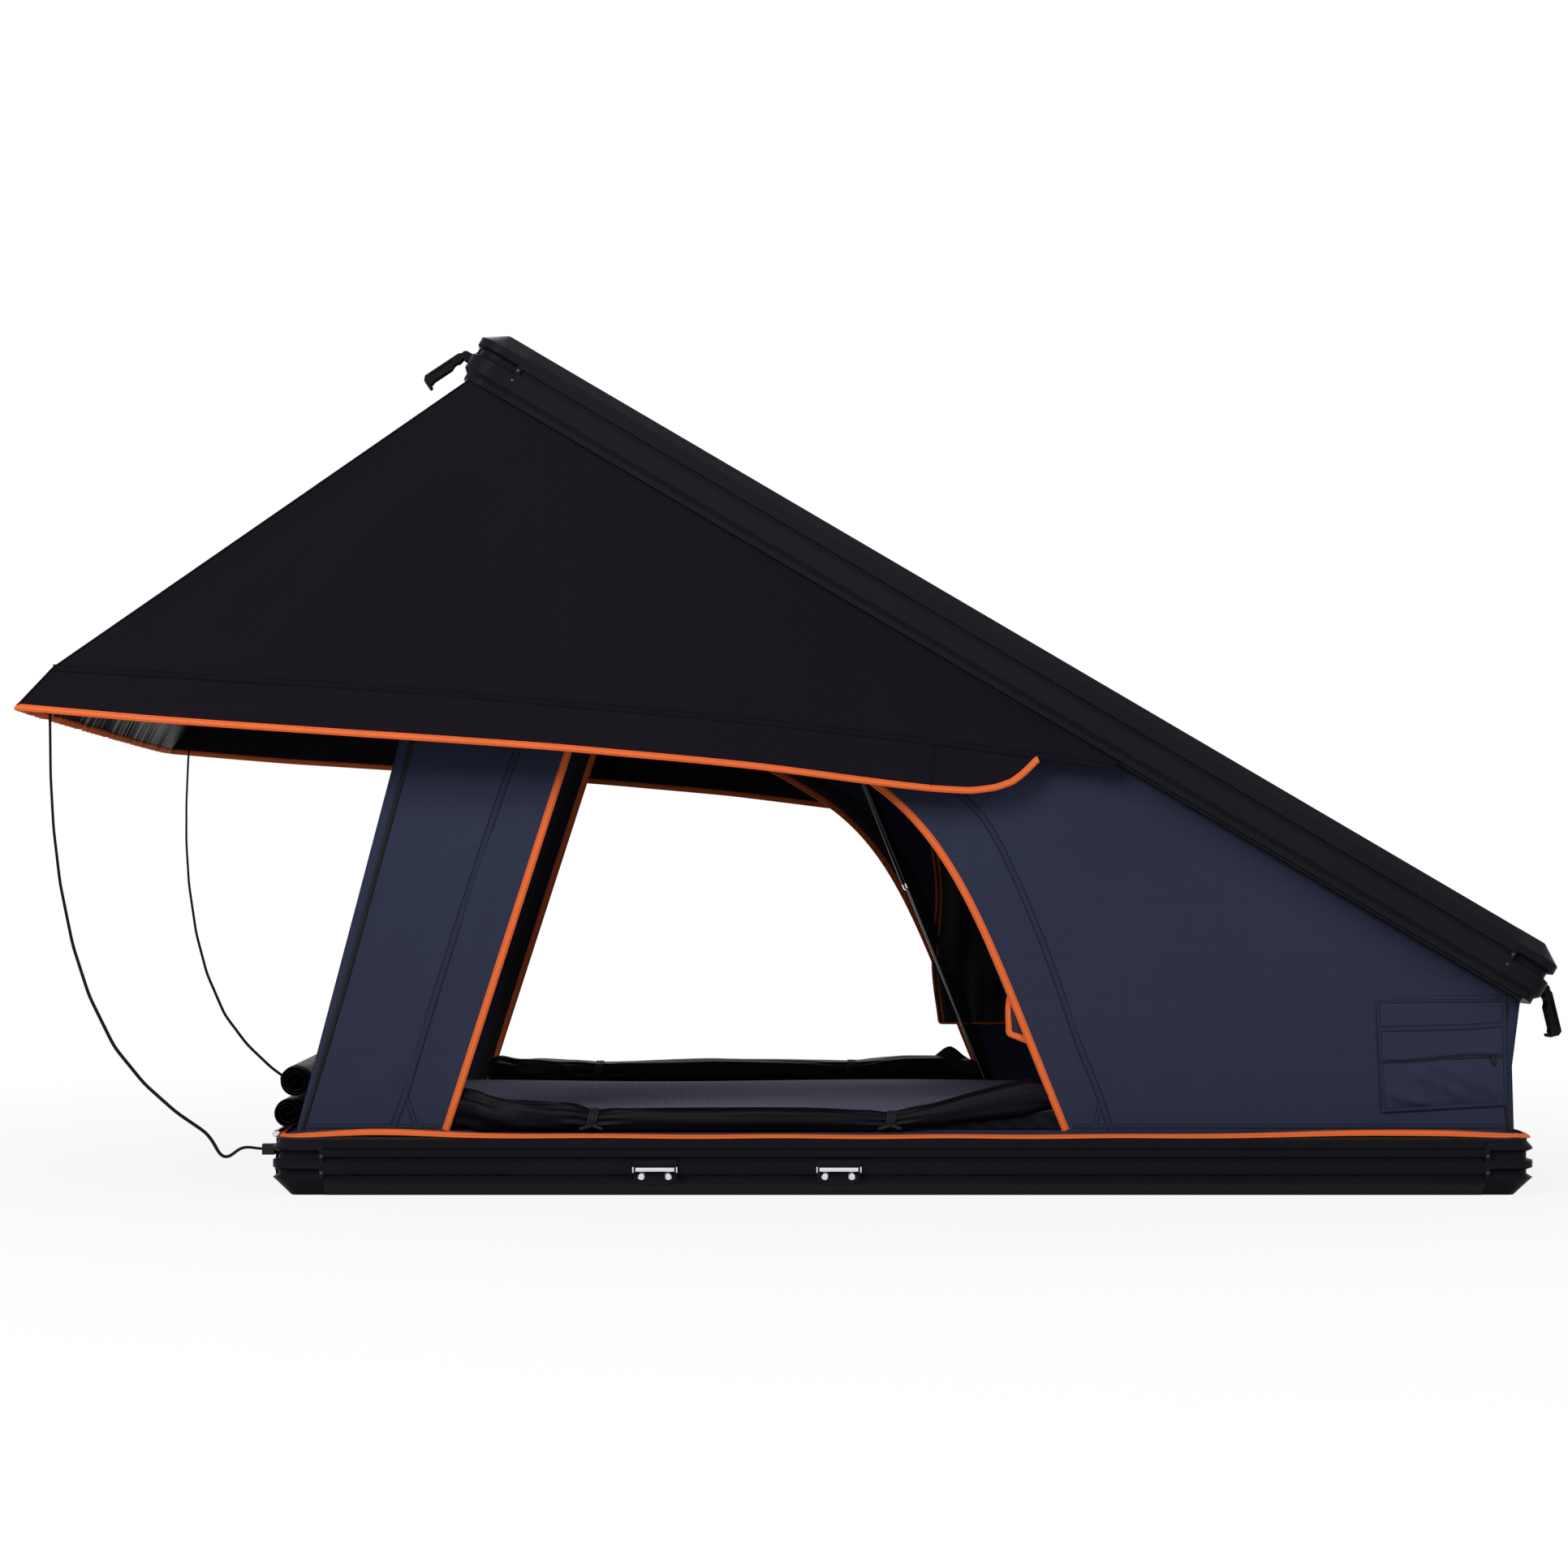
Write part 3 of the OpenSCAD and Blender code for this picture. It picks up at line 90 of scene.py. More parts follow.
def add_camera():
    """Level camera on the near side, looking along +Y; its shift puts the axis where the photograph has
    it."""
    data = bpy.data.cameras.new("side_camera")
    data.sensor_width = SENSOR_WIDTH
    data.lens = SENSOR_WIDTH * PHOTO_FOCUS / PHOTO_SIDE
    data.shift_x = (PHOTO_SIDE / 2 - PHOTO_AXIS[0]) / PHOTO_SIDE
    data.shift_y = (PHOTO_AXIS[1] - PHOTO_SIDE / 2) / PHOTO_SIDE
    data.clip_end = 100
    camera = bpy.data.objects.new("side_camera", data)
    camera.location = CAMERA_PLACE
    camera.rotation_euler = (math.radians(90), 0, 0)
    bpy.context.scene.collection.objects.link(camera)
    bpy.context.scene.camera = camera


def add_lamp(name, place, target, size, power):
    """Square soft box at a place, turned to face a target."""
    data = bpy.data.lights.new(name, "AREA")
    data.energy = power
    data.size = size
    lamp = bpy.data.objects.new(name, data)
    aim = np.array(target, float) - np.array(place, float)
    lamp.location = place
    flat = math.hypot(aim[0], aim[1])
    lamp.rotation_euler = (math.atan2(flat, -aim[2]), 0, math.atan2(aim[1], aim[0]) - math.pi / 2)
    bpy.context.scene.collection.objects.link(lamp)


# Node helpers

def add_node(tree, kind, inputs=(), **settings):
    """Adds a node; inputs pairs a socket's name or number with a value or a socket to link from."""
    node = tree.nodes.new(kind)
    for key, value in settings.items():
        setattr(node, key, value)
    for key, value in dict(inputs).items():
        if isinstance(value, bpy.types.NodeSocket):
            tree.links.new(value, node.inputs[key])
        else:
            node.inputs[key].default_value = value
    return node


def calc(tree, operation, *values):
    """A Math node's output."""
    return add_node(tree, "ShaderNodeMath", dict(enumerate(values)), operation=operation).outputs[0]


def blend(tree, share, one, two):
    """Mixes two colours by a share."""
    node = add_node(tree, "ShaderNodeMix", data_type="RGBA")
    for socket, value in ((node.inputs[0], share), (node.inputs[6], one), (node.inputs[7], two)):
        if isinstance(value, bpy.types.NodeSocket):
            tree.links.new(value, socket)
        else:
            socket.default_value = value if isinstance(value, float) else (*value, 1)
    return node.outputs[2]


def span(tree, value, low, high):
    """Stretches a 0 to 1 value to low to high."""
    return add_node(tree, "ShaderNodeMapRange", {0: value, 3: low, 4: high}).outputs[0]


def rise(tree, value, low, high):
    """0 up to low, 1 from high on, straight between them."""
    return add_node(tree, "ShaderNodeMapRange", {0: value, 1: low, 2: high}).outputs[0]


def object_place(tree):
    """The Object coordinates of a point."""
    return add_node(tree, "ShaderNodeTexCoord").outputs["Object"]


def cloth_place(tree):
    """U and V of a point on the cloth's own map."""
    place = add_node(tree, "ShaderNodeTexCoord").outputs["UV"]
    return add_node(tree, "ShaderNodeSeparateXYZ", {0: place}).outputs


def shaded(colour, share):
    """A colour times a share, up to white."""
    return tuple(min(1.0, c * share) for c in colour)


def noise(tree, place, scale, detail=3.0, rough=0.5):
    """Noise value at a place."""
    return add_node(tree, "ShaderNodeTexNoise", {"Vector": place, "Scale": scale, "Detail": detail,
                                                 "Roughness": rough}).outputs[0]


def start_group(name, inputs, outputs):
    """Empty node group with named float sockets; gives the group, its inputs and its output node."""
    group = bpy.data.node_groups.new(name, "ShaderNodeTree")
    for label, value in inputs.items():
        socket = group.interface.new_socket(label, in_out="INPUT", socket_type="NodeSocketFloat")
        socket.default_value = value
    for label in outputs:
        group.interface.new_socket(label, in_out="OUTPUT", socket_type="NodeSocketFloat")
    return group, group.nodes.new("NodeGroupInput").outputs, group.nodes.new("NodeGroupOutput").inputs


def ripstop_group():
    """Plain weave with a heavier thread at each square: sines along and across the cloth, in metres of its
    UV map."""
    group, given, put = start_group("ripstop_weave", {"Thread": 0.0011, "Square": 0.006},
                                    ("Shade", "Height"))
    uv = cloth_place(group)
    turn = calc(group, "DIVIDE", 2 * math.pi, given["Thread"])
    half = calc(group, "DIVIDE", math.pi, given["Square"])
    fine, ribs = [], []
    for axis in (0, 1):
        fine.append(calc(group, "SINE", calc(group, "MULTIPLY", uv[axis], turn)))
        wave = calc(group, "ABSOLUTE", calc(group, "COSINE", calc(group, "MULTIPLY", uv[axis], half)))
        ribs.append(calc(group, "POWER", wave, 14.0))
    plain = calc(group, "MULTIPLY", fine[0], fine[1])
    rib = calc(group, "MAXIMUM", ribs[0], ribs[1])
    height = calc(group, "MULTIPLY_ADD", plain, 0.22, calc(group, "MULTIPLY", rib, 0.6))
    shade = calc(group, "MULTIPLY_ADD", rib, -0.16, calc(group, "MULTIPLY_ADD", plain, 0.05, 1.0))
    group.links.new(shade, put["Shade"])
    group.links.new(height, put["Height"])
    return group


def tone_group():
    """Slow cloudy change of tone and fine fleck over a surface, from two noises on Object coordinates."""
    group, given, put = start_group("uneven_tone", {"Cloud": 3.0, "Fleck": 160.0}, ("Tone", "Fleck"))
    place = object_place(group)
    group.links.new(noise(group, place, given["Cloud"], 4.0), put["Tone"])
    group.links.new(noise(group, place, given["Fleck"], 2.0), put["Fleck"])
    return group


def stitch_group():
    """Two rows of stitches on a ribbed tape: dashes along U in metres, rows placed across V from 0 to 1."""
    group, given, put = start_group("tape_stitches", {"Stitch": 0.0046, "Row": 0.24},
                                    ("Thread", "Rib", "Height"))
    uv = cloth_place(group)
    step = calc(group, "FRACT", calc(group, "DIVIDE", uv[0], given["Stitch"]))
    dash = calc(group, "LESS_THAN", step, 0.66)
    from_middle = calc(group, "ABSOLUTE", calc(group, "SUBTRACT", uv[1], 0.5))
    off = calc(group, "ABSOLUTE", calc(group, "SUBTRACT", from_middle, given["Row"]))
    thread = calc(group, "MULTIPLY", dash, calc(group, "LESS_THAN", off, 0.085))
    rib = calc(group, "SINE", calc(group, "MULTIPLY", uv[0], 2 * math.pi / 0.0013))
    group.links.new(thread, put["Thread"])
    group.links.new(calc(group, "MULTIPLY_ADD", rib, 0.5, 0.5), put["Rib"])
    group.links.new(calc(group, "MULTIPLY_ADD", rib, 0.12, thread), put["Height"])
    return group


def grain_group():
    """Fine grain of a coating, slow clouds and thin scratches, from noises on Object coordinates."""
    group, given, put = start_group("coat_grain", {"Grain": 700.0, "Cloud": 5.0},
                                    ("Grain", "Cloud", "Scratch"))
    place = object_place(group)
    long_way = add_node(group, "ShaderNodeMapping", {"Vector": place, "Scale": (5, 160, 160),
                                                     "Rotation": (0, 0.5, 0.1)}).outputs[0]
    scratch = rise(group, noise(group, long_way, 1.0, 5.0, 0.65), 0.64, 0.74)
    patchy = rise(group, noise(group, place, 7.0), 0.52, 0.7)
    group.links.new(noise(group, place, given["Grain"], 2.0), put["Grain"])
    group.links.new(noise(group, place, given["Cloud"], 4.0), put["Cloud"])
    group.links.new(calc(group, "MULTIPLY", scratch, patchy), put["Scratch"])
    return group


def dust_group():
    """Dust on faces that look up: the normal's height above level, broken up by noise."""
    group, given, put = start_group("settled_dust", {"Amount": 0.3}, ("Dust",))
    geometry = add_node(group, "ShaderNodeNewGeometry").outputs
    up = add_node(group, "ShaderNodeSeparateXYZ", {0: geometry["Normal"]}).outputs[2]
    facing = rise(group, up, 0.3, 1.0)
    place = object_place(group)
    patch = calc(group, "MULTIPLY", facing, rise(group, noise(group, place, 11.0, 6.0, 0.62), 0.38, 0.75))
    group.links.new(calc(group, "MULTIPLY", patch, given["Amount"]), put["Dust"])
    return group


RIPSTOP = ripstop_group()
TONE = tone_group()
STITCH = stitch_group()
GRAIN = grain_group()
DUST = dust_group()


def use(tree, group, **values):
    """Places a node group with its own values; gives its outputs."""
    node = add_node(tree, "ShaderNodeGroup", node_tree=group)
    for label, value in values.items():
        node.inputs[label].default_value = value
    return node.outputs


def start_material(name, **sockets):
    """Material with a Principled shader; sockets sets its inputs, with underscores for spaces."""
    material = bpy.data.materials.new(name)
    material.use_nodes = True
    tree = material.node_tree
    shader = tree.nodes["Principled BSDF"]
    for label, value in sockets.items():
        shader.inputs[label.replace("_", " ")].default_value = value
    return material, tree, shader.inputs


def set_bump(tree, shader, height, strength, distance):
    """Bump from a height to the shader's normal."""
    bump = add_node(tree, "ShaderNodeBump", {"Height": height, "Strength": strength, "Distance": distance})
    tree.links.new(bump.outputs[0], shader["Normal"])


def coated_metal(name, colour, rough, metallic=0.0, grain=700.0, bump=0.25, dust=0.12, scratch=0.5,
                 **sockets):
    """Painted or plated metal: grained, cloudy in its gloss, lightly scratched and dusty."""
    material, tree, shader = start_material(name, Metallic=metallic, **sockets)
    coat = use(tree, GRAIN, Grain=grain)
    worn = tuple(min(1.0, c * 1.6 + 0.03) for c in colour)
    tint = blend(tree, span(tree, coat["Cloud"], 0.0, 1.0), shaded(colour, 0.86), shaded(colour, 1.14))
    tint = blend(tree, calc(tree, "MULTIPLY", coat["Scratch"], scratch), tint, worn)
    tint = blend(tree, use(tree, DUST, Amount=dust)["Dust"], tint, (0.2, 0.19, 0.18))
    tree.links.new(tint, shader["Base Color"])
    matt = span(tree, coat["Cloud"], rough - 0.07, rough + 0.07)
    tree.links.new(calc(tree, "MULTIPLY_ADD", coat["Scratch"], 0.12, matt), shader["Roughness"])
    set_bump(tree, shader, coat["Grain"], bump, 0.0004)
    return material


def woven_cloth(name, colour, rough, thread=0.0011, square=0.006, bump=0.35, dust=0.05, depth=1.0,
                **sockets):
    """Woven cloth: thread and ripstop squares in shade and bump, cloudy tone, a little dust."""
    material, tree, shader = start_material(name, **sockets)
    weave = use(tree, RIPSTOP, Thread=thread, Square=square)
    tone = use(tree, TONE, Cloud=2.6, Fleck=420.0)
    tint = blend(tree, span(tree, tone["Tone"], 0.0, 1.0), shaded(colour, 0.84), shaded(colour, 1.16))
    woven = calc(tree, "MULTIPLY_ADD", calc(tree, "SUBTRACT", weave["Shade"], 1.0), depth, 1.0)
    lit = calc(tree, "MULTIPLY", woven, span(tree, tone["Fleck"], 0.86, 1.14))
    tint = blend(tree, calc(tree, "SUBTRACT", 1.0, lit), tint, (0.0, 0.0, 0.0))
    tint = blend(tree, use(tree, DUST, Amount=dust)["Dust"], tint, (0.16, 0.15, 0.15))
    tree.links.new(tint, shader["Base Color"])
    tree.links.new(span(tree, tone["Tone"], rough - 0.06, rough + 0.06), shader["Roughness"])
    set_bump(tree, shader, weave["Height"], bump, 0.0005)
    return material


def sewn_tape(name, colour, thread, rough=0.62, stitch=0.0046, row=0.24, **sockets):
    """Ribbed tape with two rows of stitches in a thread colour."""
    material, tree, shader = start_material(name, **sockets)
    tape = use(tree, STITCH, Stitch=stitch, Row=row)
    tone = use(tree, TONE, Cloud=9.0, Fleck=380.0)
    tint = blend(tree, span(tree, tape["Rib"], 0.0, 1.0), shaded(colour, 0.82), shaded(colour, 1.08))
    tint = blend(tree, span(tree, tone["Tone"], 0.0, 0.3), tint, shaded(colour, 0.7))
    tint = blend(tree, tape["Thread"], tint, thread)
    tree.links.new(tint, shader["Base Color"])
    tree.links.new(span(tree, tone["Fleck"], rough - 0.08, rough + 0.08), shader["Roughness"])
    set_bump(tree, shader, tape["Height"], 0.5, 0.0005)
    return material


NAVY = (0.0222, 0.0264, 0.0492)
BLACK_CLOTH = (0.0066, 0.0057, 0.0086)
ORANGE = (0.66, 0.118, 0.022)

shell_paint = coated_metal("shell_paint", (0.0104, 0.0096, 0.0127), 0.40, grain=900.0, bump=0.3, dust=0.003,
                           scratch=0.12, Specular_IOR_Level=0.003)
# Same paint as shell_paint, made darker for the base rails: painted shade for the weaker light that falls on
# the base
base_paint_painted_shade = coated_metal("base_paint_painted_shade", (0.0066, 0.0060, 0.0082), 0.40, grain=900.0, bump=0.3, dust=0.003,
                          scratch=0.12, Specular_IOR_Level=0.02)
corner_paint = coated_metal("corner_paint", (0.0084, 0.0077, 0.0106), 0.32, grain=420.0, bump=0.45,
                            dust=0.002, scratch=0.1, Specular_IOR_Level=0.010)
roof_paint = coated_metal("roof_paint", (0.0098, 0.0094, 0.0118), 0.55, grain=520.0, bump=0.4, dust=0.05,
                          scratch=0.15, Specular_IOR_Level=0.03)
bar_metal = coated_metal("bar_metal", (0.58, 0.58, 0.6), 0.34, 1.0, grain=500.0, bump=0.15, scratch=0.6)
bright_metal = coated_metal("bright_metal", (0.72, 0.72, 0.74), 0.16, 1.0, grain=300.0, bump=0.05,
                            scratch=0.4)
screw_metal = coated_metal("screw_metal", (0.045, 0.045, 0.05), 0.38, 1.0, grain=400.0, bump=0.1,
                           scratch=0.5)
steel_paint = coated_metal("steel_paint", (0.0090, 0.0087, 0.0110), 0.46, grain=600.0, bump=0.25, dust=0.005,
                           scratch=0.2, Specular_IOR_Level=0.015)
tube_paint = coated_metal("tube_paint", (0.006, 0.006, 0.008), 0.14, grain=400.0, bump=0.04, dust=0.03,
                          scratch=0.2, Specular_IOR_Level=0.25)
rod_metal = coated_metal("rod_metal", (0.2, 0.2, 0.22), 0.24, 1.0, grain=500.0, bump=0.05, scratch=0.5)
black_plastic = coated_metal("black_plastic", (0.009, 0.009, 0.0105), 0.5, grain=350.0, bump=0.4, dust=0.03,
                             scratch=0.15, Specular_IOR_Level=0.12)
seal_rubber = coated_metal("seal_rubber", (0.008, 0.008, 0.008), 0.72, grain=240.0, bump=0.5, dust=0.05,
                           scratch=0.1, Specular_IOR_Level=0.2)
floor_coat = coated_metal("floor_coat", (0.022, 0.022, 0.024), 0.66, grain=180.0, bump=0.6, dust=0.1,
                          scratch=0.3, Specular_IOR_Level=0.3)
lining_felt = woven_cloth("lining_felt", (0.022, 0.022, 0.027), 0.92, thread=0.004, square=0.03, bump=0.6,
                          Sheen_Weight=0.1, Specular_IOR_Level=0.1)
wall_cloth = woven_cloth("wall_cloth", NAVY, 0.66, dust=0.02, Specular_IOR_Level=0.03)
fly_cloth = woven_cloth("fly_cloth", BLACK_CLOTH, 0.74, thread=0.0014, square=0.02, depth=0.4, dust=0.01,
                        Specular_IOR_Level=0.02)
net_cloth = woven_cloth("net_cloth", (0.0030, 0.0025, 0.0044), 0.38, thread=0.0016, square=0.0048, bump=0.5,
                        dust=0.0, Specular_IOR_Level=0.06)
valance_cloth = woven_cloth("valance_cloth", (0.0062, 0.0056, 0.0082), 0.42, thread=0.0012, square=0.02,
                            bump=0.2, depth=0.4, dust=0.01, Specular_IOR_Level=0.14)
flap_cloth = woven_cloth("flap_cloth", (0.0065, 0.0062, 0.0078), 0.5, thread=0.0012, square=0.012, bump=0.3,
                         dust=0.02, Specular_IOR_Level=0.2)
mattress_top = woven_cloth("mattress_top", (0.118, 0.114, 0.176), 0.86, thread=0.0032, square=0.016,
                           bump=0.6, dust=0.02, Specular_IOR_Level=0.05)
mattress_side = woven_cloth("mattress_side", (0.02, 0.0245, 0.044), 0.8, thread=0.0024, square=0.012,
                            bump=0.5, dust=0.02, Specular_IOR_Level=0.15)
orange_tape = sewn_tape("orange_tape", ORANGE, (0.4, 0.062, 0.012), Specular_IOR_Level=0.2)
black_tape = sewn_tape("black_tape", (0.0085, 0.008, 0.01), (0.016, 0.016, 0.019), row=0.3,
                       Specular_IOR_Level=0.1)
navy_seam = sewn_tape("navy_seam", (0.0198, 0.0236, 0.0440), (0.0045, 0.005, 0.008), rough=0.66, row=0.36,
                      Specular_IOR_Level=0.03)
black_seam = sewn_tape("black_seam", (0.0061, 0.0053, 0.0080), (0.0030, 0.0027, 0.0040), rough=0.72,
                       row=0.36, Specular_IOR_Level=0.02)


# Mesh helpers

def new_object(name, mesh, materials):
    """Object at the origin with its materials."""
    piece = bpy.data.objects.new(name, mesh)
    for material in materials:
        mesh.materials.append(material)
    bpy.context.scene.collection.objects.link(piece)
    return piece


def grid_normals(points):
    """Normals of a grid of points: the cross product of its slopes along columns and along rows."""
    normal = np.cross(np.gradient(points, axis=1), np.gradient(points, axis=0))
    return normal / np.maximum(np.linalg.norm(normal, axis=2, keepdims=True), 1e-12)


def grid_length(points, axis):
    """Distance along a grid's columns, axis 0, or its rows, axis 1, from 0 at its first edge."""
    step = np.diff(points, axis=axis, prepend=points.take([0], axis))
    return np.cumsum(np.linalg.norm(step, axis=2), axis)


def run_length(path):
    """Distance along a path of points, from 0 at its start."""
    return np.concatenate([[0], np.cumsum(np.linalg.norm(np.diff(path, axis=0), axis=1))])


def closed(points):
    """Grid with its first column set once more at its end, so that it goes all round."""
    return np.concatenate([points, points[:, :1]], 1)


def full_turn(count):
    """Even angles all round, the last of them one step short of the first."""
    return np.linspace(0, 2 * math.pi, count, endpoint=False)


def rounded(turn, power):
    """Cosine and sine of a turn, each to a power with its sign kept: 1 gives a circle, near 0 a square."""
    return [np.sign(f) * np.abs(f) ** power for f in (np.cos(turn), np.sin(turn))]


def square_ring(turn, power):
    """Directions round a square with soft corners: each is divided by its own norm of a high power."""
    ring = np.stack([np.cos(turn), np.sin(turn)], 1)
    return ring / (np.abs(ring) ** power).sum(1, keepdims=True) ** (1 / power)


def wall_across(path):
    """Direction of a tape's width on a wall: square to its path, in the wall's plane of X and Z."""
    ahead = np.gradient(path, axis=0)
    return np.stack([-ahead[:, 2], np.zeros(len(path)), ahead[:, 0]], 1)


def grid_piece(name, points, materials, uv=None, around=False, bands=None, thick=0.0, merge=False,
               normals=None):
    """Surface over an array of points, rows by columns: quads between neighbours, the last column joined to
    the first where it goes around. UV gives metres along and across; bands gives each row of quads its
    material; normals are set where a patch goes on smoothly into its neighbour."""
    rows, columns = points.shape[:2]
    i, j = np.meshgrid(np.arange(rows - 1), np.arange(columns if around else columns - 1), indexing="ij")
    corner = np.array([(i, j), (i, j + 1), (i + 1, j + 1), (i + 1, j)])
    corner = corner.reshape(4, 2, -1).transpose(2, 0, 1)
    faces = corner[..., 0] * columns + corner[..., 1] % columns
    mesh = bpy.data.meshes.new(name)
    mesh.from_pydata(points.reshape(-1, 3).tolist(), [], faces.tolist())
    if uv is None:
        loop = closed(points)
        uv = np.stack([grid_length(loop, 0), grid_length(loop, 1)], 2)
    layer = mesh.uv_layers.new(name="cloth_uv")
    layer.data.foreach_set("uv", uv[corner[..., 0], corner[..., 1]].astype(np.float32).ravel())
    mesh.polygons.foreach_set("use_smooth", np.ones(len(faces), bool))
    if bands is not None:
        mesh.polygons.foreach_set("material_index", np.asarray(bands)[corner[:, 0, 0]].astype(np.int32))
    if normals is not None:
        mesh.normals_split_custom_set_from_vertices(normals.reshape(-1, 3).tolist())
    piece = new_object(name, mesh, materials)
    if merge:
        close_ends(mesh)
    if thick:
        shell = piece.modifiers.new("cloth_thickness", "SOLIDIFY")
        shell.thickness = thick
        shell.offset = 0.0
        shell.use_even_offset = False
    return piece


def close_ends(mesh):
    """Joins the points that meet at the ends of a closed form and turns its faces outwards."""
    form = bmesh.new()
    form.from_mesh(mesh)
    bmesh.ops.remove_doubles(form, verts=form.verts, dist=1e-6)
    bmesh.ops.recalc_face_normals(form, faces=form.faces)
    form.to_mesh(mesh)
    form.free()
    mesh.set_sharp_from_angle(angle=math.radians(60))


def resample(path, count):
    """Points spread evenly along a path of points."""
    path = np.asarray(path, float)
    length = run_length(path)
    at = np.linspace(0, length[-1], count)
    return np.stack([np.interp(at, length, path[:, k]) for k in range(path.shape[1])], 1)


def soften(path, passes):
    """Rounds a path: each pass moves the inner points halfway to the middle of their neighbours."""
    path = np.array(path, float)
    for _ in range(passes):
        path[1:-1] = path[1:-1] / 2 + (path[:-2] + path[2:]) / 4
    return path


def spline(path, count):
    """Smooth even path near a list of points."""
    return resample(soften(resample(path, 6 * len(path) + 40), 7), count)


def sweep(name, path, side, half_side, half_up, materials, roundness=2.6, around=14, taper=0.0, bulge=None):
    """Flat band or cord: a rounded profile, half_side by half_up, carried along a path; side is the
    direction of its width, squared up to the path. The ends close on the path. Taper thins the ends, bulge
    scales each point."""
    path = np.asarray(path, float)
    count = len(path)
    tangent = np.gradient(path, axis=0)
    tangent /= np.linalg.norm(tangent, axis=1, keepdims=True)
    side = np.broadcast_to(np.asarray(side, float), path.shape)
    side = side - (side * tangent).sum(1, keepdims=True) * tangent
    side /= np.linalg.norm(side, axis=1, keepdims=True)
    up = np.cross(tangent, side)
    turn = full_turn(around)
    ring = rounded(turn, 2 / roundness)
    scale = np.ones(count) if bulge is None else np.asarray(bulge, float)
    if taper:
        edge = np.minimum(np.arange(count), np.arange(count)[::-1]) / max(1, taper * count)
        scale = scale * np.sqrt(np.clip(edge, 0.05, 1))
    wide, tall = (part[None, :, None] for part in ring)
    offset = side[:, None] * wide * half_side + up[:, None] * tall * half_up
    points = path[:, None] + offset * scale[:, None, None]
    points = np.concatenate([np.broadcast_to(path[:1, None], points[:1].shape), points,
                             np.broadcast_to(path[-1:, None], points[:1].shape)])
    length = run_length(path)
    length = np.concatenate([[0], length, length[-1:]])
    lap = np.arange(around + 1) * 2 * math.pi / around
    uv = np.stack(np.broadcast_arrays(length[:, None], 0.5 + 0.5 * np.cos(lap)[None]), 2)
    return grid_piece(name, points, materials, uv=uv, around=True, merge=True)


def crease(x, z, lines):
    """Soft ridges on a flat cloth: each line has two ends, a width and a height; the ridge falls off as a
    bell across the line and fades at its ends."""
    total = np.zeros_like(x)
    for x0, z0, x1, z1, width, height in lines:
        dx, dz = x1 - x0, z1 - z0
        length = math.hypot(dx, dz)
        along = ((x - x0) * dx + (z - z0) * dz) / length ** 2
        off = ((x - x0) * dz - (z - z0) * dx) / length
        inside = np.clip(np.minimum(along, 1 - along) * 3 + 0.15, 0, 1)
        total += height * np.exp(-(off / width) ** 2) * inside * inside * (3 - 2 * inside)
    return total


def bezier(p, count):
    """Points along a cubic curve with four control points."""
    p = np.asarray(p, float)
    t = np.linspace(0, 1, count)[:, None]
    return (1 - t) ** 3 * p[0] + 3 * (1 - t) ** 2 * t * p[1] + 3 * (1 - t) * t * t * p[2] + t ** 3 * p[3]


def on_base(piece, tucks=False):
    """Rides on the base with a mesh of its own, the same whether it tucks or not."""
    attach(piece, "base")
    if tucks:
        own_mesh(piece)
    else:
        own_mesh(piece)


add_camera()


# Awning rods: bent spring steel, plugged into sockets at the head end

ROD_START = (-1.065, 0.643, 0.074)
ROD_HALF = 0.00225
ROD_POINTS = 260
# Route from the start, in millimetres: forwards, outwards and up
ROD_STEPS = [(7, 0, 0), (25, 0, 0), (41, 0, 3), (55, 0, 5), (65, 0, -2), (74, 0, -12), (82, 1, -17),
             (90, 1, -15), (96, 2, -7), (101, 2, 6), (115, 3, 27), (140, 5, 44), (167, 8, 63),
             (220, 16, 112), (269, 26, 175), (309, 40, 262), (334, 54, 348), (352, 71, 452), (360, 86, 544),
             (362, 100, 628), (360, 117, 735), (355, 123, 776)]


def awning_rod(name, side, body):
    """Round rod, 4.5 mm thick and a third more in its lower half, carried along the smoothed route from its
    socket to the fly's front corner."""
    steps = np.array(ROD_STEPS, float) / 1000
    x, y, z = ROD_START
    route = np.stack([x - steps[:, 0], side * (y + steps[:, 1]), z + steps[:, 2]], 1)
    path = soften(resample(route, ROD_POINTS), 14)
    path[0], path[-1] = route[0], route[-1]
    share = np.linspace(0, 1, ROD_POINTS)
    sleeve = 1 + 0.34 * np.clip(share / 0.12, 0, 1) * np.clip((0.85 - share) / 0.45, 0, 1)
    rod = sweep(name + "_smooth", path, (0, 1, 0), ROD_HALF, ROD_HALF, [steel_paint], roundness=2.0,
                around=12, bulge=sleeve)
    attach(rod, body)
    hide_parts(name)


awning_rod("awning_rod_near", NEAR, "awning_near")
awning_rod("awning_rod_far", FAR, "awning_far")


# Side walls

DOOR_ARCH = ((0.279, DOOR_Z), (0.150, 0.420), (0.100, 0.600), (-0.060, 0.705))
DOOR_TOP = ((-0.060, 0.705), (-0.160, 0.770), (-0.330, 0.860), (-0.440, 0.880))
DOOR_CORNER = ((-0.440, 0.880), (-0.510, 0.893), (-0.528, 0.862), (-0.550, 0.800))
DOOR_HEAD_FOOT = (-0.774, DOOR_Z)
WALL_MIDDLE = (-0.27, 0.42)
WALL_OUTLINE = [(-1.030, WALL_FOOT_Z), (1.040, WALL_FOOT_Z), (1.0365, 0.215), lid_point(1.032, -0.0006),
                lid_point(-0.9955, -0.0006)]
door_edge = np.concatenate([bezier(DOOR_ARCH, 90), bezier(DOOR_TOP, 50)[1:], bezier(DOOR_CORNER, 30)[1:],
                            np.linspace(DOOR_CORNER[3], DOOR_HEAD_FOOT, 70)[1:]])

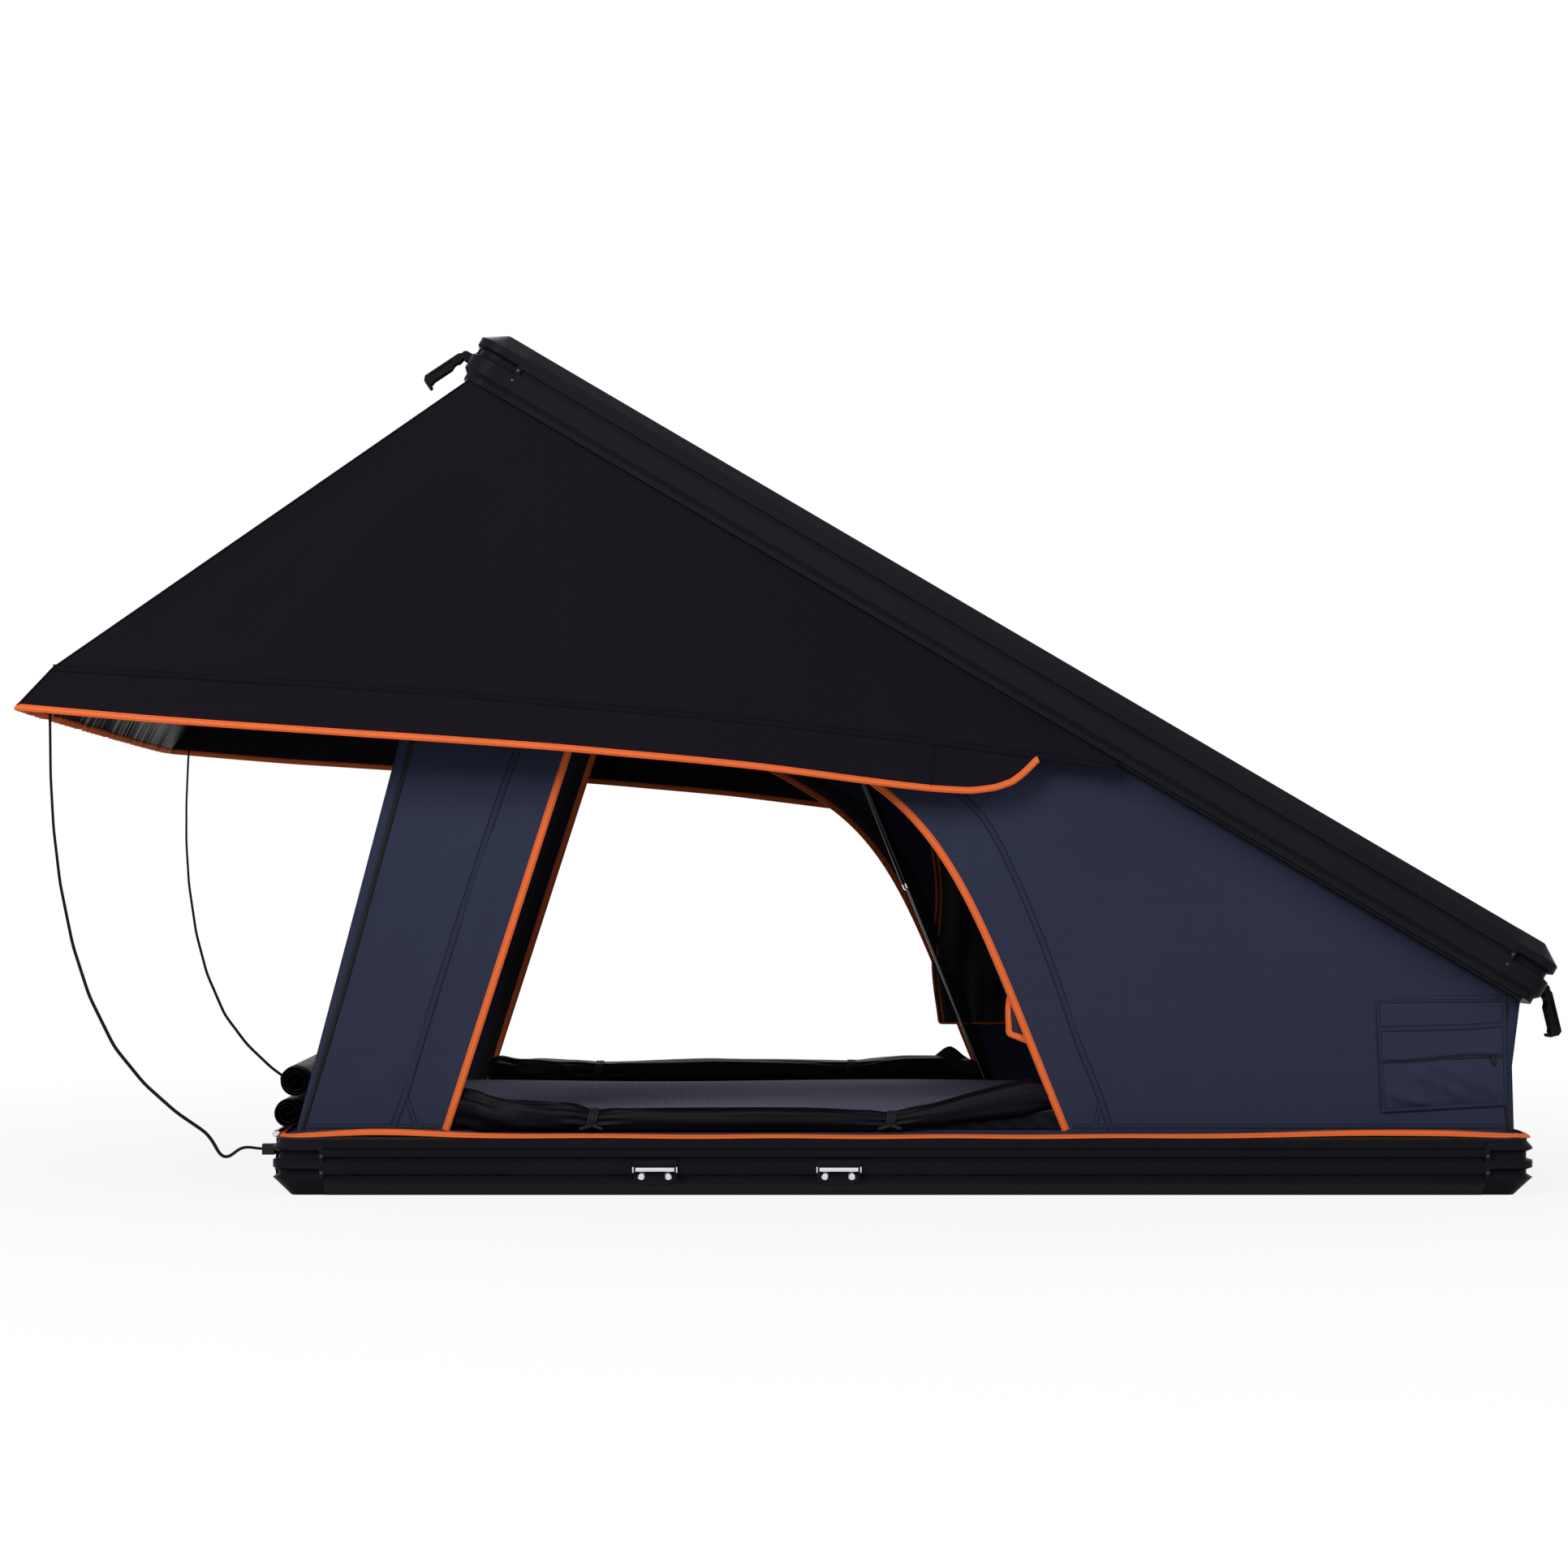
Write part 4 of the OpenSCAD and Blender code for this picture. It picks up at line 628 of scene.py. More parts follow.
# Creases: X and Z of both ends, width, height
NEAR_CREASES = [(-0.96, 0.13, -0.80, 0.66, 0.045, 0.0022), (-0.89, 0.12, -0.72, 0.52, 0.026, 0.0028),
                (-0.75, 0.28, -0.69, 0.62, 0.022, 0.0034), (-0.95, 0.44, -0.76, 0.60, 0.035, -0.0022),
                (-0.71, 0.55, -0.655, 0.78, 0.018, 0.0026), (-0.93, 0.16, -0.83, 0.24, 0.022, 0.0022),
                (-0.84, 0.60, -0.70, 0.66, 0.03, -0.002), (0.33, 0.13, 0.30, 0.38, 0.022, 0.0022),
                (0.40, 0.10, 0.47, 0.34, 0.04, 0.0022), (0.62, 0.11, 0.58, 0.30, 0.05, 0.002),
                (0.99, 0.11, 0.86, 0.34, 0.03, 0.002), (0.25, 0.62, 0.55, 0.45, 0.05, -0.0018)]
FAR_CREASES = [(-0.94, 0.14, -0.74, 0.60, 0.04, 0.0026), (-0.86, 0.13, -0.70, 0.44, 0.03, -0.0022),
               (-0.74, 0.36, -0.67, 0.72, 0.022, 0.003), (0.36, 0.12, 0.42, 0.42, 0.03, 0.0028),
               (0.60, 0.11, 0.50, 0.44, 0.05, 0.0024), (0.95, 0.12, 0.80, 0.33, 0.04, 0.0026),
               (0.20, 0.60, 0.48, 0.40, 0.04, -0.002)]


def outline_at(angle):
    """Where rays from the wall's middle, at these angles, meet the wall's outline: the nearest edge that
    each crosses."""
    corners = np.array(WALL_OUTLINE)
    edge = np.roll(corners, -1, 0) - corners
    ray = np.stack([np.cos(angle), np.sin(angle)], 1)
    away = corners[None] - np.array(WALL_MIDDLE)
    cross = ray[:, None, 0] * edge[None, :, 1] - ray[:, None, 1] * edge[None, :, 0]
    reach = (away[..., 0] * edge[None, :, 1] - away[..., 1] * edge[None, :, 0]) / cross
    share = (away[..., 0] * ray[:, None, 1] - away[..., 1] * ray[:, None, 0]) / cross
    reach = np.where((reach > 0) & (share > -1e-6) & (share < 1 + 1e-6), reach, np.inf).min(1)
    return np.array(WALL_MIDDLE) + ray * reach[:, None]


def wall_relief(x, z, creases):
    """How far the wall stands out: a low billow between its edges, plus soft creases."""
    billow = 0.003 * np.exp(-((x - 0.55) / 0.3) ** 2 - ((z - 0.33) / 0.16) ** 2)
    ease = 0.0012 * np.sin(9.0 * x + 5.0 * z) * np.sin(7.0 * z - 2.0 * x + 1.0)
    return billow + ease + crease(x, z, creases)


WALL_ROWS, WALL_COLUMNS = 44, 380


def side_wall(name, side, creases):
    """Wall with its door cut out: rows run from the door's edge to the wall's outline along rays from the
    middle, and the cloth stands out by its relief, fading to nothing at both edges."""
    loop = np.concatenate([door_edge, np.linspace(DOOR_HEAD_FOOT, DOOR_ARCH[0], 90)[1:]])
    angle = np.unwrap(np.arctan2(loop[:, 1] - WALL_MIDDLE[1], loop[:, 0] - WALL_MIDDLE[0]))
    corners = np.array(WALL_OUTLINE)
    corner_angle = np.arctan2(corners[:, 1] - WALL_MIDDLE[1], corners[:, 0] - WALL_MIDDLE[0])
    corner_angle = angle[0] + (corner_angle - angle[0]) % (2 * math.pi)
    spread = np.interp(np.linspace(0, 1, WALL_COLUMNS), np.linspace(0, 1, len(angle)), angle)[:-1]
    columns = np.unique(np.round(np.concatenate([spread, corner_angle]), 7))
    inner = np.stack([np.interp(columns, angle, loop[:, k]) for k in (0, 1)], 1)
    outer = outline_at(columns)
    share = np.linspace(0, 1, WALL_ROWS)[:, None, None] ** 1.15
    flat = inner[None] + (outer - inner)[None] * share
    x, z = flat[..., 0], flat[..., 1]
    fade = np.clip(share[..., 0] / 0.1, 0, 1) * np.clip((1 - share[..., 0]) / 0.1, 0, 1)
    y = side * (WALL_Y + wall_relief(x, z, creases) * fade)
    points = np.stack([x, y, z], 2)
    if side == FAR:
        points, flat = points[:, ::-1], flat[:, ::-1]
    wall = grid_piece(name + "_sewn", points, [wall_cloth], uv=closed(flat), around=True, thick=WALL_THICK)
    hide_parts(name)
    on_base(wall)


def wall_band(name, side, path, half, material, out=0.0, creases=None, count=160,
              passes=3):
    """Tape or seam on a wall: its width lies in the wall's plane, and it stands out from the cloth's own
    relief."""
    path = soften(resample(path, count), passes)
    lift = 0 if creases is None else wall_relief(path[:, 0], path[:, 1], creases)
    run = np.stack([path[:, 0], side * (WALL_Y + out + lift + np.zeros(count)), path[:, 1]], 1)
    on_base(sweep(name, run, wall_across(run), *half, [material]))


HEAD_SEAM = [(-0.50, 1.16), (-0.600, 0.890), (-0.6515, 0.754), (-0.672, 0.700), (-0.7236, 0.546),
             (-0.790, 0.341), (-0.844, 0.163), (-0.866, 0.106)]
ARCH_SEAM = [(-0.30, 0.945), (-0.12, 0.842), (0.03, 0.740), (0.1026, 0.675), (0.1386, 0.639),
             (0.169, 0.5875), (0.205, 0.510), (0.241, 0.4225), (0.272, 0.337), (0.302, 0.249),
             (0.337, 0.162), (0.356, 0.106)]
HEAD_PIPING = [(-0.690, 1.28), (-0.760, 1.030), (-0.830, 0.768), (-0.886, 0.565), (-0.944, 0.353),
               (-1.0175, 0.109)]
FOOT_PIPING = [(1.028, 0.322), (1.0225, 0.262), (1.0225, 0.215), (1.026, 0.15), (1.032, 0.106)]

# Seams and piping of a side wall: path, half sizes, tape, how far out, points, does it follow the relief
WALL_TRIM = [("head_seam", HEAD_SEAM, WALL_SEAM, navy_seam, 0.0004, 160, True),
             ("arch_seam", ARCH_SEAM, WALL_SEAM, navy_seam, 0.0004, 160, True),
             ("head_gusset", [(-0.8405, 0.163), (-0.8225, 0.109)], GUSSET_SEAM, navy_seam, 0.0004, 30, True),
             ("arch_gusset", [(0.3375, 0.152), (0.327, 0.109)], GUSSET_SEAM, navy_seam, 0.0004, 30, True),
             ("head_piping", HEAD_PIPING, (0.0038, 0.0034), black_tape, 0.0006, 160, True),
             ("foot_piping", FOOT_PIPING, (0.0032, 0.003), black_tape, 0.0006, 60, False),
             ("head_hem", [(-1.012, 0.1135), (-0.786, 0.1135)], HEM_SEAM, navy_seam, 0.0004, 60, True),
             ("foot_hem", [(0.291, 0.1135), (1.024, 0.1135)], HEM_SEAM, navy_seam, 0.0004, 120, True)]
ZIP_HALF = (0.0125, 0.0016)
ZIP_INSET = 0.024


def wall_trim(side, word, creases):
    """Binding and zip of the door, then the seams and piping of one side wall."""
    wall_band(f"door_binding_{word}", side, door_edge, BINDING, orange_tape, count=420, passes=1)
    away = door_edge - np.array(WALL_MIDDLE)
    zip_line = door_edge + ZIP_INSET * away / np.linalg.norm(away, axis=1, keepdims=True)
    wall_band(f"door_zip_{word}", side, zip_line, ZIP_HALF, black_tape, out=-0.0022,
              count=300)
    for name, path, half, tape, out, count, follows in WALL_TRIM:
        relief = creases if follows else None
        wall_band(f"{name}_{word}", side, path, half, tape, out=out, creases=relief, count=count)


side_wall("wall_near", NEAR, NEAR_CREASES)
side_wall("wall_far", FAR, FAR_CREASES)
wall_trim(NEAR, "near", NEAR_CREASES)
wall_trim(FAR, "far", FAR_CREASES)


# End walls and skirt

END_HALF = 0.6518
HEAD_FRAME = 0.07
HEAD_SILL = 0.06
HEAD_ROWS, HEAD_COLUMNS = 14, 320
FOOT_ROWS, FOOT_COLUMNS = 40, 160
SKIRT_TOP_HALF = (1.0345, 0.6543)
SKIRT_EDGE_HALF = (1.0575, 0.7025)
SKIRT_BINDING = (0.0066, 0.0021)
SKIRT_ROWS, SKIRT_COLUMNS = 12, 720


def head_wall():
    """Sloped frame of cloth round the head opening: rows run from the opening's rectangle to the outer one,
    columns go round; it leans from its foot to the lid and sags a little between its edges."""
    foot = np.array([-1.028, WALL_FOOT_Z + 0.0006])
    top = np.array(lid_point(-0.9945, -0.002))
    slope = top - foot
    height = float(np.linalg.norm(slope))
    turn = full_turn(HEAD_COLUMNS)
    square = np.stack([np.cos(turn), np.sin(turn)], 1)
    square /= np.abs(square).max(1, keepdims=True)
    soft = np.stack(rounded(turn, 0.2), 1)
    middle, half = (HEAD_SILL + height - HEAD_FRAME) / 2, (height - HEAD_SILL - HEAD_FRAME) / 2
    opening = np.stack([soft[:, 0] * (END_HALF - HEAD_FRAME), middle + soft[:, 1] * half], 1)
    outer = np.stack([square[:, 0] * END_HALF, height / 2 + square[:, 1] * height / 2], 1)
    share = np.linspace(0, 1, HEAD_ROWS)[:, None, None]
    flat = opening[None] + (outer - opening)[None] * share
    across, along = flat[..., 0], flat[..., 1]
    sag = 0.003 * np.sin(math.pi * share[..., 0]) * np.sin(14 * across + 9 * along)
    slant = slope / height
    points = np.stack([foot[0] + slant[0] * along + sag, across, foot[1] + slant[1] * along], 2)
    wall = grid_piece("wall_head_sewn", points, [wall_cloth], uv=closed(flat), around=True, thick=WALL_THICK)
    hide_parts("wall_head")
    on_base(wall)
    rim = np.concatenate([opening, opening[:1]])
    path = np.stack([foot[0] + slant[0] * rim[:, 1], rim[:, 0], foot[1] + slant[1] * rim[:, 1]], 1)
    edge = resample(path, 400)
    on_base(sweep("head_door_binding", edge, path.mean(0) - edge, *BINDING, [black_tape]))


def foot_wall():
    """Low end wall, a little hollow from foot to lid, with shallow upright folds between the side walls."""
    share = np.linspace(0, 1, FOOT_ROWS)[:, None]
    top = lid_point(1.0305, -0.0008)
    z = WALL_FOOT_Z + 0.0004 + (top[1] - WALL_FOOT_Z - 0.0004) * share
    x = np.interp(z, [WALL_FOOT_Z, 0.15, 0.215, 0.27, top[1]], [1.0382, 1.0352, 1.0347, 1.0405, top[0]])
    y = np.linspace(-END_HALF, END_HALF, FOOT_COLUMNS)[None]
    fold = 0.0022 * np.sin(math.pi * share) * (np.sin(21 * y) + 0.7 * np.sin(47 * y + 3 * share))
    points = np.stack([x + fold, y + 0 * share, z + 0 * y], 2)
    uv = np.stack([y + 0 * share, z + 0 * y], 2)
    wall = grid_piece("wall_foot_sewn", points, [wall_cloth], uv=uv, thick=WALL_THICK)
    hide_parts("wall_foot")
    on_base(wall)


# How far the skirt's edge lifts off the base along the sides: X, height
SKIRT_LIFT = [(-1.04, 0.0), (-1.0, 0.002), (-0.955, 0.0065), (-0.90, 0.0085), (-0.84, 0.008), (-0.76, 0.004),
              (-0.64, 0.0015), (-0.4, 0.001), (0.0, 0.0005), (0.4, 0.001), (0.62, 0.003), (0.76, 0.0065),
              (0.88, 0.0075), (0.96, 0.006), (1.01, 0.002), (1.05, 0.0)]


def skirt():
    """Skirt all round the walls' foot: rows fall from the wall to the base's edge, columns go round a
    rectangle with soft corners; the edge lifts in low waves, and an orange binding runs along it."""
    turn = full_turn(SKIRT_COLUMNS)
    even = square_ring(turn, 40)
    inner = np.array([0.005, 0]) + even * np.array(SKIRT_TOP_HALF)
    outer = np.array([0.004, 0]) + even * np.array(SKIRT_EDGE_HALF)
    share = np.linspace(0, 1, SKIRT_ROWS)[:, None]
    table = np.array(SKIRT_LIFT)
    lift = np.interp(outer[:, 0], table[:, 0], table[:, 1]) * np.clip(np.abs(even[:, 1]) * 4 - 2.6, 0, 1)
    lift = (lift + np.roll(lift, 3) + np.roll(lift, -3)) / 3
    flat = inner[None] + (outer - inner)[None] * share[..., None]
    fall = 0.0075 * (1 - share) ** 1.3
    wave = 0.0006 * np.sin(24 * turn)[None] * share
    z = WALL_FOOT_Z + 0.0016 + fall + (lift[None] + 0.002) * share ** 1.5 + wave
    points = np.concatenate([flat, z[..., None]], 2)
    around = run_length(outer)
    around = np.append(around, around[-1] + 0.01)
    uv = np.stack(np.broadcast_arrays(around[None], 0.04 * share), 2)
    cloth = grid_piece("skirt_sewn", points, [wall_cloth], uv=uv, around=True, thick=0.001)
    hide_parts("skirt")
    on_base(cloth)
    back, edge = closed(points)[-2:]
    away = (edge - back) / np.linalg.norm(edge - back, axis=1, keepdims=True)
    turn_down = 0.35 + np.append(lift, lift[0]) * 110
    slant = away - turn_down[:, None] * np.array([0, 0, 1])
    on_base(sweep("skirt_binding", edge, slant, *SKIRT_BINDING, [orange_tape], around=12))


head_wall()
foot_wall()
skirt()


# Fly: two wings and a front panel that hang from the lid and spread to the rods

FLY_LID_HEAD = -1.0345
FLY_LIP_B = -0.0004
# Stations of a wing, front to back: distance down the lid's lip, point of the seam, point of the hem
FLY_ROWS = [(0.000, (-1.412, 0.800, 0.881), (-1.471, 0.810, 0.816)),
            (0.030, (-1.220, 0.788, 0.870), (-1.230, 0.800, 0.795)),
            (0.130, (-0.900, 0.766, 0.852), (-0.910, 0.780, 0.774)),
            (0.330, (-0.580, 0.748, 0.826), (-0.590, 0.762, 0.753)),
            (0.580, (-0.250, 0.728, 0.797), (-0.258, 0.738, 0.723)),
            (0.830, (-0.010, 0.712, 0.7706), (-0.018, 0.720, 0.6918)),
            (0.950, (0.055, 0.708, 0.7624), (0.047, 0.713, 0.6848)),
            (1.030, (0.125, 0.704, 0.7535), (0.112, 0.708, 0.6812)),
            (1.090, (0.170, 0.702, 0.7478), (0.154, 0.705, 0.6868)),
            (1.130, (0.197, 0.701, 0.7444), (0.182, 0.703, 0.6966)),
            (1.160, (0.212, 0.700, 0.7425), (0.2005, 0.702, 0.7105)),
            (1.185, (0.222, 0.700, 0.7412), (0.2145, 0.701, 0.7240)),
            (1.210, (0.231, 0.700, 0.7402), (0.2275, 0.700, 0.7375)),
            (1.270, (0.350, 0.698, 0.7215), (0.347, 0.698, 0.7200))]
# Station at which the hem's binding ends
HEM_END = 11.8
WING_CREASES = [(-0.80, 1.28, -1.30, 0.93, 0.03, -0.004), (-0.78, 1.24, -1.10, 0.86, 0.035, 0.004),
                (-0.70, 1.24, -0.78, 0.82, 0.05, -0.004), (-0.55, 1.12, -0.52, 0.80, 0.05, 0.004),
                (-0.30, 1.05, -0.22, 0.76, 0.045, -0.004), (-0.05, 0.92, 0.02, 0.72, 0.03, 0.003),
                (0.08, 0.84, 0.14, 0.71, 0.02, -0.002), (-1.36, 0.87, -1.05, 0.90, 0.022, 0.003),
                (-1.30, 0.80, -1.05, 0.84, 0.02, -0.003), (-0.66, 0.78, -0.60, 0.86, 0.03, 0.003)]
# Half width and half thickness of the fly's ribbon, hem and corner cord
FLY_SEAM = (0.0062, 0.0009)
FLY_HEM = (0.0058, 0.0019)
FLY_CORD = (0.0017, 0.0017)

# Columns of a wing, the row of its seam, and the shares of its rows down to the seam and on to the hem
FLY_COLUMNS = 350
SEAM_ROW = 36
FLY_UPPER = np.linspace(0, 1, SEAM_ROW + 1)[:, None, None]
FLY_LOWER = np.linspace(0, 1, 13)[1:, None, None]


def wing_grid():
    """Near or far wing as a grid: columns follow the table of stations from the front to the back, smoothed;
    rows go from the lid's lip to the seam, then to the hem, each straight but for sag and creases that push
    it out."""
    stations = np.array([(along, *seam, *hem) for along, seam, hem in FLY_ROWS])
    at = np.linspace(0, len(stations) - 1, FLY_COLUMNS)
    even = np.stack([np.interp(at, np.arange(len(stations)), column) for column in stations.T], 1)
    along, seam, hem = soften(even[:, 0:1], 60)[:, 0], soften(even[:, 1:4], 60), soften(even[:, 4:7], 40)
    x, z = lid_point(FLY_LID_HEAD + along, FLY_LIP_B)
    lip = np.stack([x, np.full(FLY_COLUMNS, LID_LIP_Y), z], 1)
    points = np.concatenate([lip + (seam - lip) * FLY_UPPER, seam + (hem - seam) * FLY_LOWER])
    drop = np.concatenate([FLY_UPPER, 1 + FLY_LOWER])[..., 0]
    sag = -0.010 * np.sin(math.pi * np.clip(drop, 0, 1)) * np.sin(math.pi * np.clip(at / at[-1], 0, 1))
    flutter = 0.0022 * np.clip(drop - 0.75, 0, 1) * (
        np.sin(14 * points[..., 0]) + 0.6 * np.sin(31 * points[..., 0] + 1.0))
    edge = np.clip(drop / 0.1, 0, 1) * np.clip(at / 0.25, 0, 1) * np.clip((at[-1] - at) / 0.3, 0, 1)
    points[..., 1] += edge * (sag + flutter + crease(points[..., 0], points[..., 2], WING_CREASES))
    return points, at


def hang_on_lid(piece):
    """Fly cloth rides on the lid, with a mesh of its own."""
    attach(piece, "lid")
    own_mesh(piece)


def fly_patch(name, points, columns, turned, flat_axis, valance=fly_cloth, hem_last=None):
    """Part of a fly panel with the ribbon of its seam and the binding of its hem, both square to the
    valance's mean normal. Normals come from the whole panel, so parts join smoothly."""
    length = grid_length(points, 0)
    way = slice(None, None, -1) if turned else slice(None)
    patch = points[:, columns]
    normals = grid_normals(points)[:, columns] * (-1 if turned else 1)
    uv = np.stack([patch[..., flat_axis], length[:, columns]], 2)
    below = np.arange(len(points) - 1) >= SEAM_ROW
    piece = grid_piece(name, patch[:, way], [fly_cloth, valance], uv=uv[:, way], bands=below,
                       normals=normals[:, way])
    facing = grid_normals(points)[SEAM_ROW:-1, :points.shape[1] * 3 // 4].mean((0, 1))
    hang_on_lid(piece)
    for word, row, half, finish in (("seam", SEAM_ROW, FLY_SEAM, black_seam),
                                    ("hem", -1, FLY_HEM, orange_tape)):
        last = hem_last if hem_last and word == "hem" else columns[-1]
        slope = np.gradient(points[row], axis=0)
        across = np.cross(slope, facing)[columns[0]:last + 1]
        line = points[row, columns[0]:last + 1]
        hang_on_lid(sweep(f"{name}_{word}", line, across, *half, [finish]))
    return piece


# Gores of a wing: name, station of its front edge, depth into the lid
WING_PARTS = [("a", 0.0, 0.056), ("b", 0.34, 0.056), ("c", 0.72, 0.062), ("d", 1.2, 0.062),
              ("e", 1.62, 0.030)]
FIRST_GORE, LAST_GORE = "a", "e"
VALANCE_SEAM_X = 0.050


def fly_wing(word, side):
    """One wing, cut into gores at the front; the last is most of the wing."""
    points, at = wing_grid()
    points[..., 1] *= side
    cuts = [int(np.abs(at - station).argmin()) for _, station, _ in WING_PARTS] + [len(at) - 1]
    for number, (part, _, lift) in enumerate(WING_PARTS):
        columns = np.arange(cuts[number], cuts[number + 1] + 1)
        front = points[:, columns[0]]
        hem_last = None
        if part == LAST_GORE:
            hem_last = int(np.abs(at - HEM_END).argmin())
        piece = fly_patch(f"fly_{word}_{part}", points, columns, side == FAR, 0,
                          hem_last=hem_last)
        if part == FIRST_GORE:
            cord = sweep(f"fly_corner_{word}", front, (0, 1, 0), *FLY_CORD, [black_seam], around=10)
            hang_on_lid(cord)
        if part == LAST_GORE:
            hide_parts(f"fly_{word}")
            joint = points[SEAM_ROW + 1:, int(np.abs(points[SEAM_ROW, :, 0] - VALANCE_SEAM_X).argmin())]
            seam = sweep(f"fly_valance_seam_{word}", joint, (1, 0, 0), *HEM_SEAM, [black_seam])
            hang_on_lid(seam)


# Front panel: columns of each corner, far ends of its seam and hem
CORNER_COLUMNS = 14
FRONT_SEAM = (-1.4125, 0.798, 0.8845)
FRONT_HEM = (-1.472, 0.807, 0.8155)


def front_grid():
    """Front panel as a grid: columns go across, rows from the lid's head end to the front seam and on to the
    hem; the seam and hem sag forwards as a parabola across, the valance gathers in small pleats, and the
    outer columns are eased on to the wings' front edges."""
    corner = np.linspace(0.84, 1, CORNER_COLUMNS)
    across = np.concatenate([-corner[::-1], np.linspace(-0.83, 0.83, 201), corner])
    arch = 1 - across ** 2
    sag = 0.018 * arch
    x, z = lid_point(FLY_LID_HEAD - 0.004, FLY_LIP_B)
    lip = np.stack([np.full(len(across), x), across * (LID_LIP_Y - 0.003), np.full(len(across), z)], 1)
    seam = np.stack([FRONT_SEAM[0] + sag, across * FRONT_SEAM[1], FRONT_SEAM[2] - 0.004 * arch], 1)
    hem = np.stack([FRONT_HEM[0] + 2 * sag, across * FRONT_HEM[1], FRONT_HEM[2] - 0.012 * arch], 1)
    points = np.concatenate([lip + (seam - lip) * FLY_UPPER, seam + (hem - seam) * FLY_LOWER])
    drop = np.concatenate([FLY_UPPER, 1 + FLY_LOWER])[..., 0]
    inside = np.clip((1 - np.abs(across)) * 8, 0, 1)[None]
    hollow = -0.016 * np.sin(math.pi * np.clip(drop, 0, 1)) * arch[None]
    gather = 0.0048 * np.clip(drop - 1.02, 0, 1) * np.sin(190 * across + 6 * np.sin(21 * across))[None]
    points[..., 2] += inside * hollow
    points[..., 0] += inside * (gather - 0.6 * hollow)
    wing_edge = wing_grid()[0][:, 0]
    for column, side in ((0, NEAR), (-1, FAR)):
        shift = wing_edge * np.array([1, side, 1]) - points[:, column]
        share = np.clip(1 - np.abs(across - side) / 0.16, 0, 1) ** 2
        points = points + shift[:, None] * share[None, :, None]
    return points, across


def fly_front():
    """Front panel in three parts: the middle and the two corners."""
    points, across = front_grid()
    last = len(across) - 1
    first_cut, last_cut = CORNER_COLUMNS, last - CORNER_COLUMNS
    for part, low, high, edge in (("near", 0, first_cut, 0), ("middle", first_cut, last_cut, last // 2),
                                  ("far", last_cut, last, last)):
        columns = np.arange(low, high + 1)
        piece = fly_patch(f"fly_front_{part}", points, columns, True, 1, valance_cloth)
        if part == "middle":
            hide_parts("fly_front")


fly_wing("near", NEAR)
fly_wing("far", FAR)
fly_front()


# Pocket and inner flaps

# Pocket: its grid, where the zip's pull hangs on it, its creases and its corners in X and Z
POCKET_ROWS, POCKET_COLUMNS = 90, 110
PULL_ROW, PULL_COLUMN = 47, 96
POCKET_CREASES = [(0.86, 0.212, 0.96, 0.158, 0.011, 0.0060), (0.91, 0.222, 0.99, 0.170, 0.012, 0.0055),
                  (0.82, 0.172, 0.90, 0.148, 0.010, 0.0050), (0.89, 0.215, 0.93, 0.160, 0.008, -0.0045),
                  (0.95, 0.222, 1.02, 0.158, 0.010, 0.0052), (0.83, 0.30, 0.99, 0.285, 0.02, 0.0014)]
POCKET_CORNERS = ((0.8030, 0.3312), (1.0260, 0.3340), (1.0290, 0.1484), (0.8140, 0.1359))


def quad_grid(corners, rows, columns):
    """X and Z of a four-cornered patch, rows from the top edge down, columns along: straight lines between
    edges."""
    one, two, three, four = (np.array(c) for c in corners)
    v = np.linspace(0, 1, rows)[:, None, None]
    u = np.linspace(0, 1, columns)[None, :, None]
    return (one + (two - one) * u) * (1 - v) + (four + (three - four) * u) * v, u[..., 0], v[..., 0]


def pocket_stitching(name, line, out, passes, half, tape):
    """Row of stitching along a line of the pocket's points, softened and lifted off the cloth."""
    line = line - np.array([0, out, 0])
    on_base(sweep(name, soften(line, passes), wall_across(line), *half, [tape]))


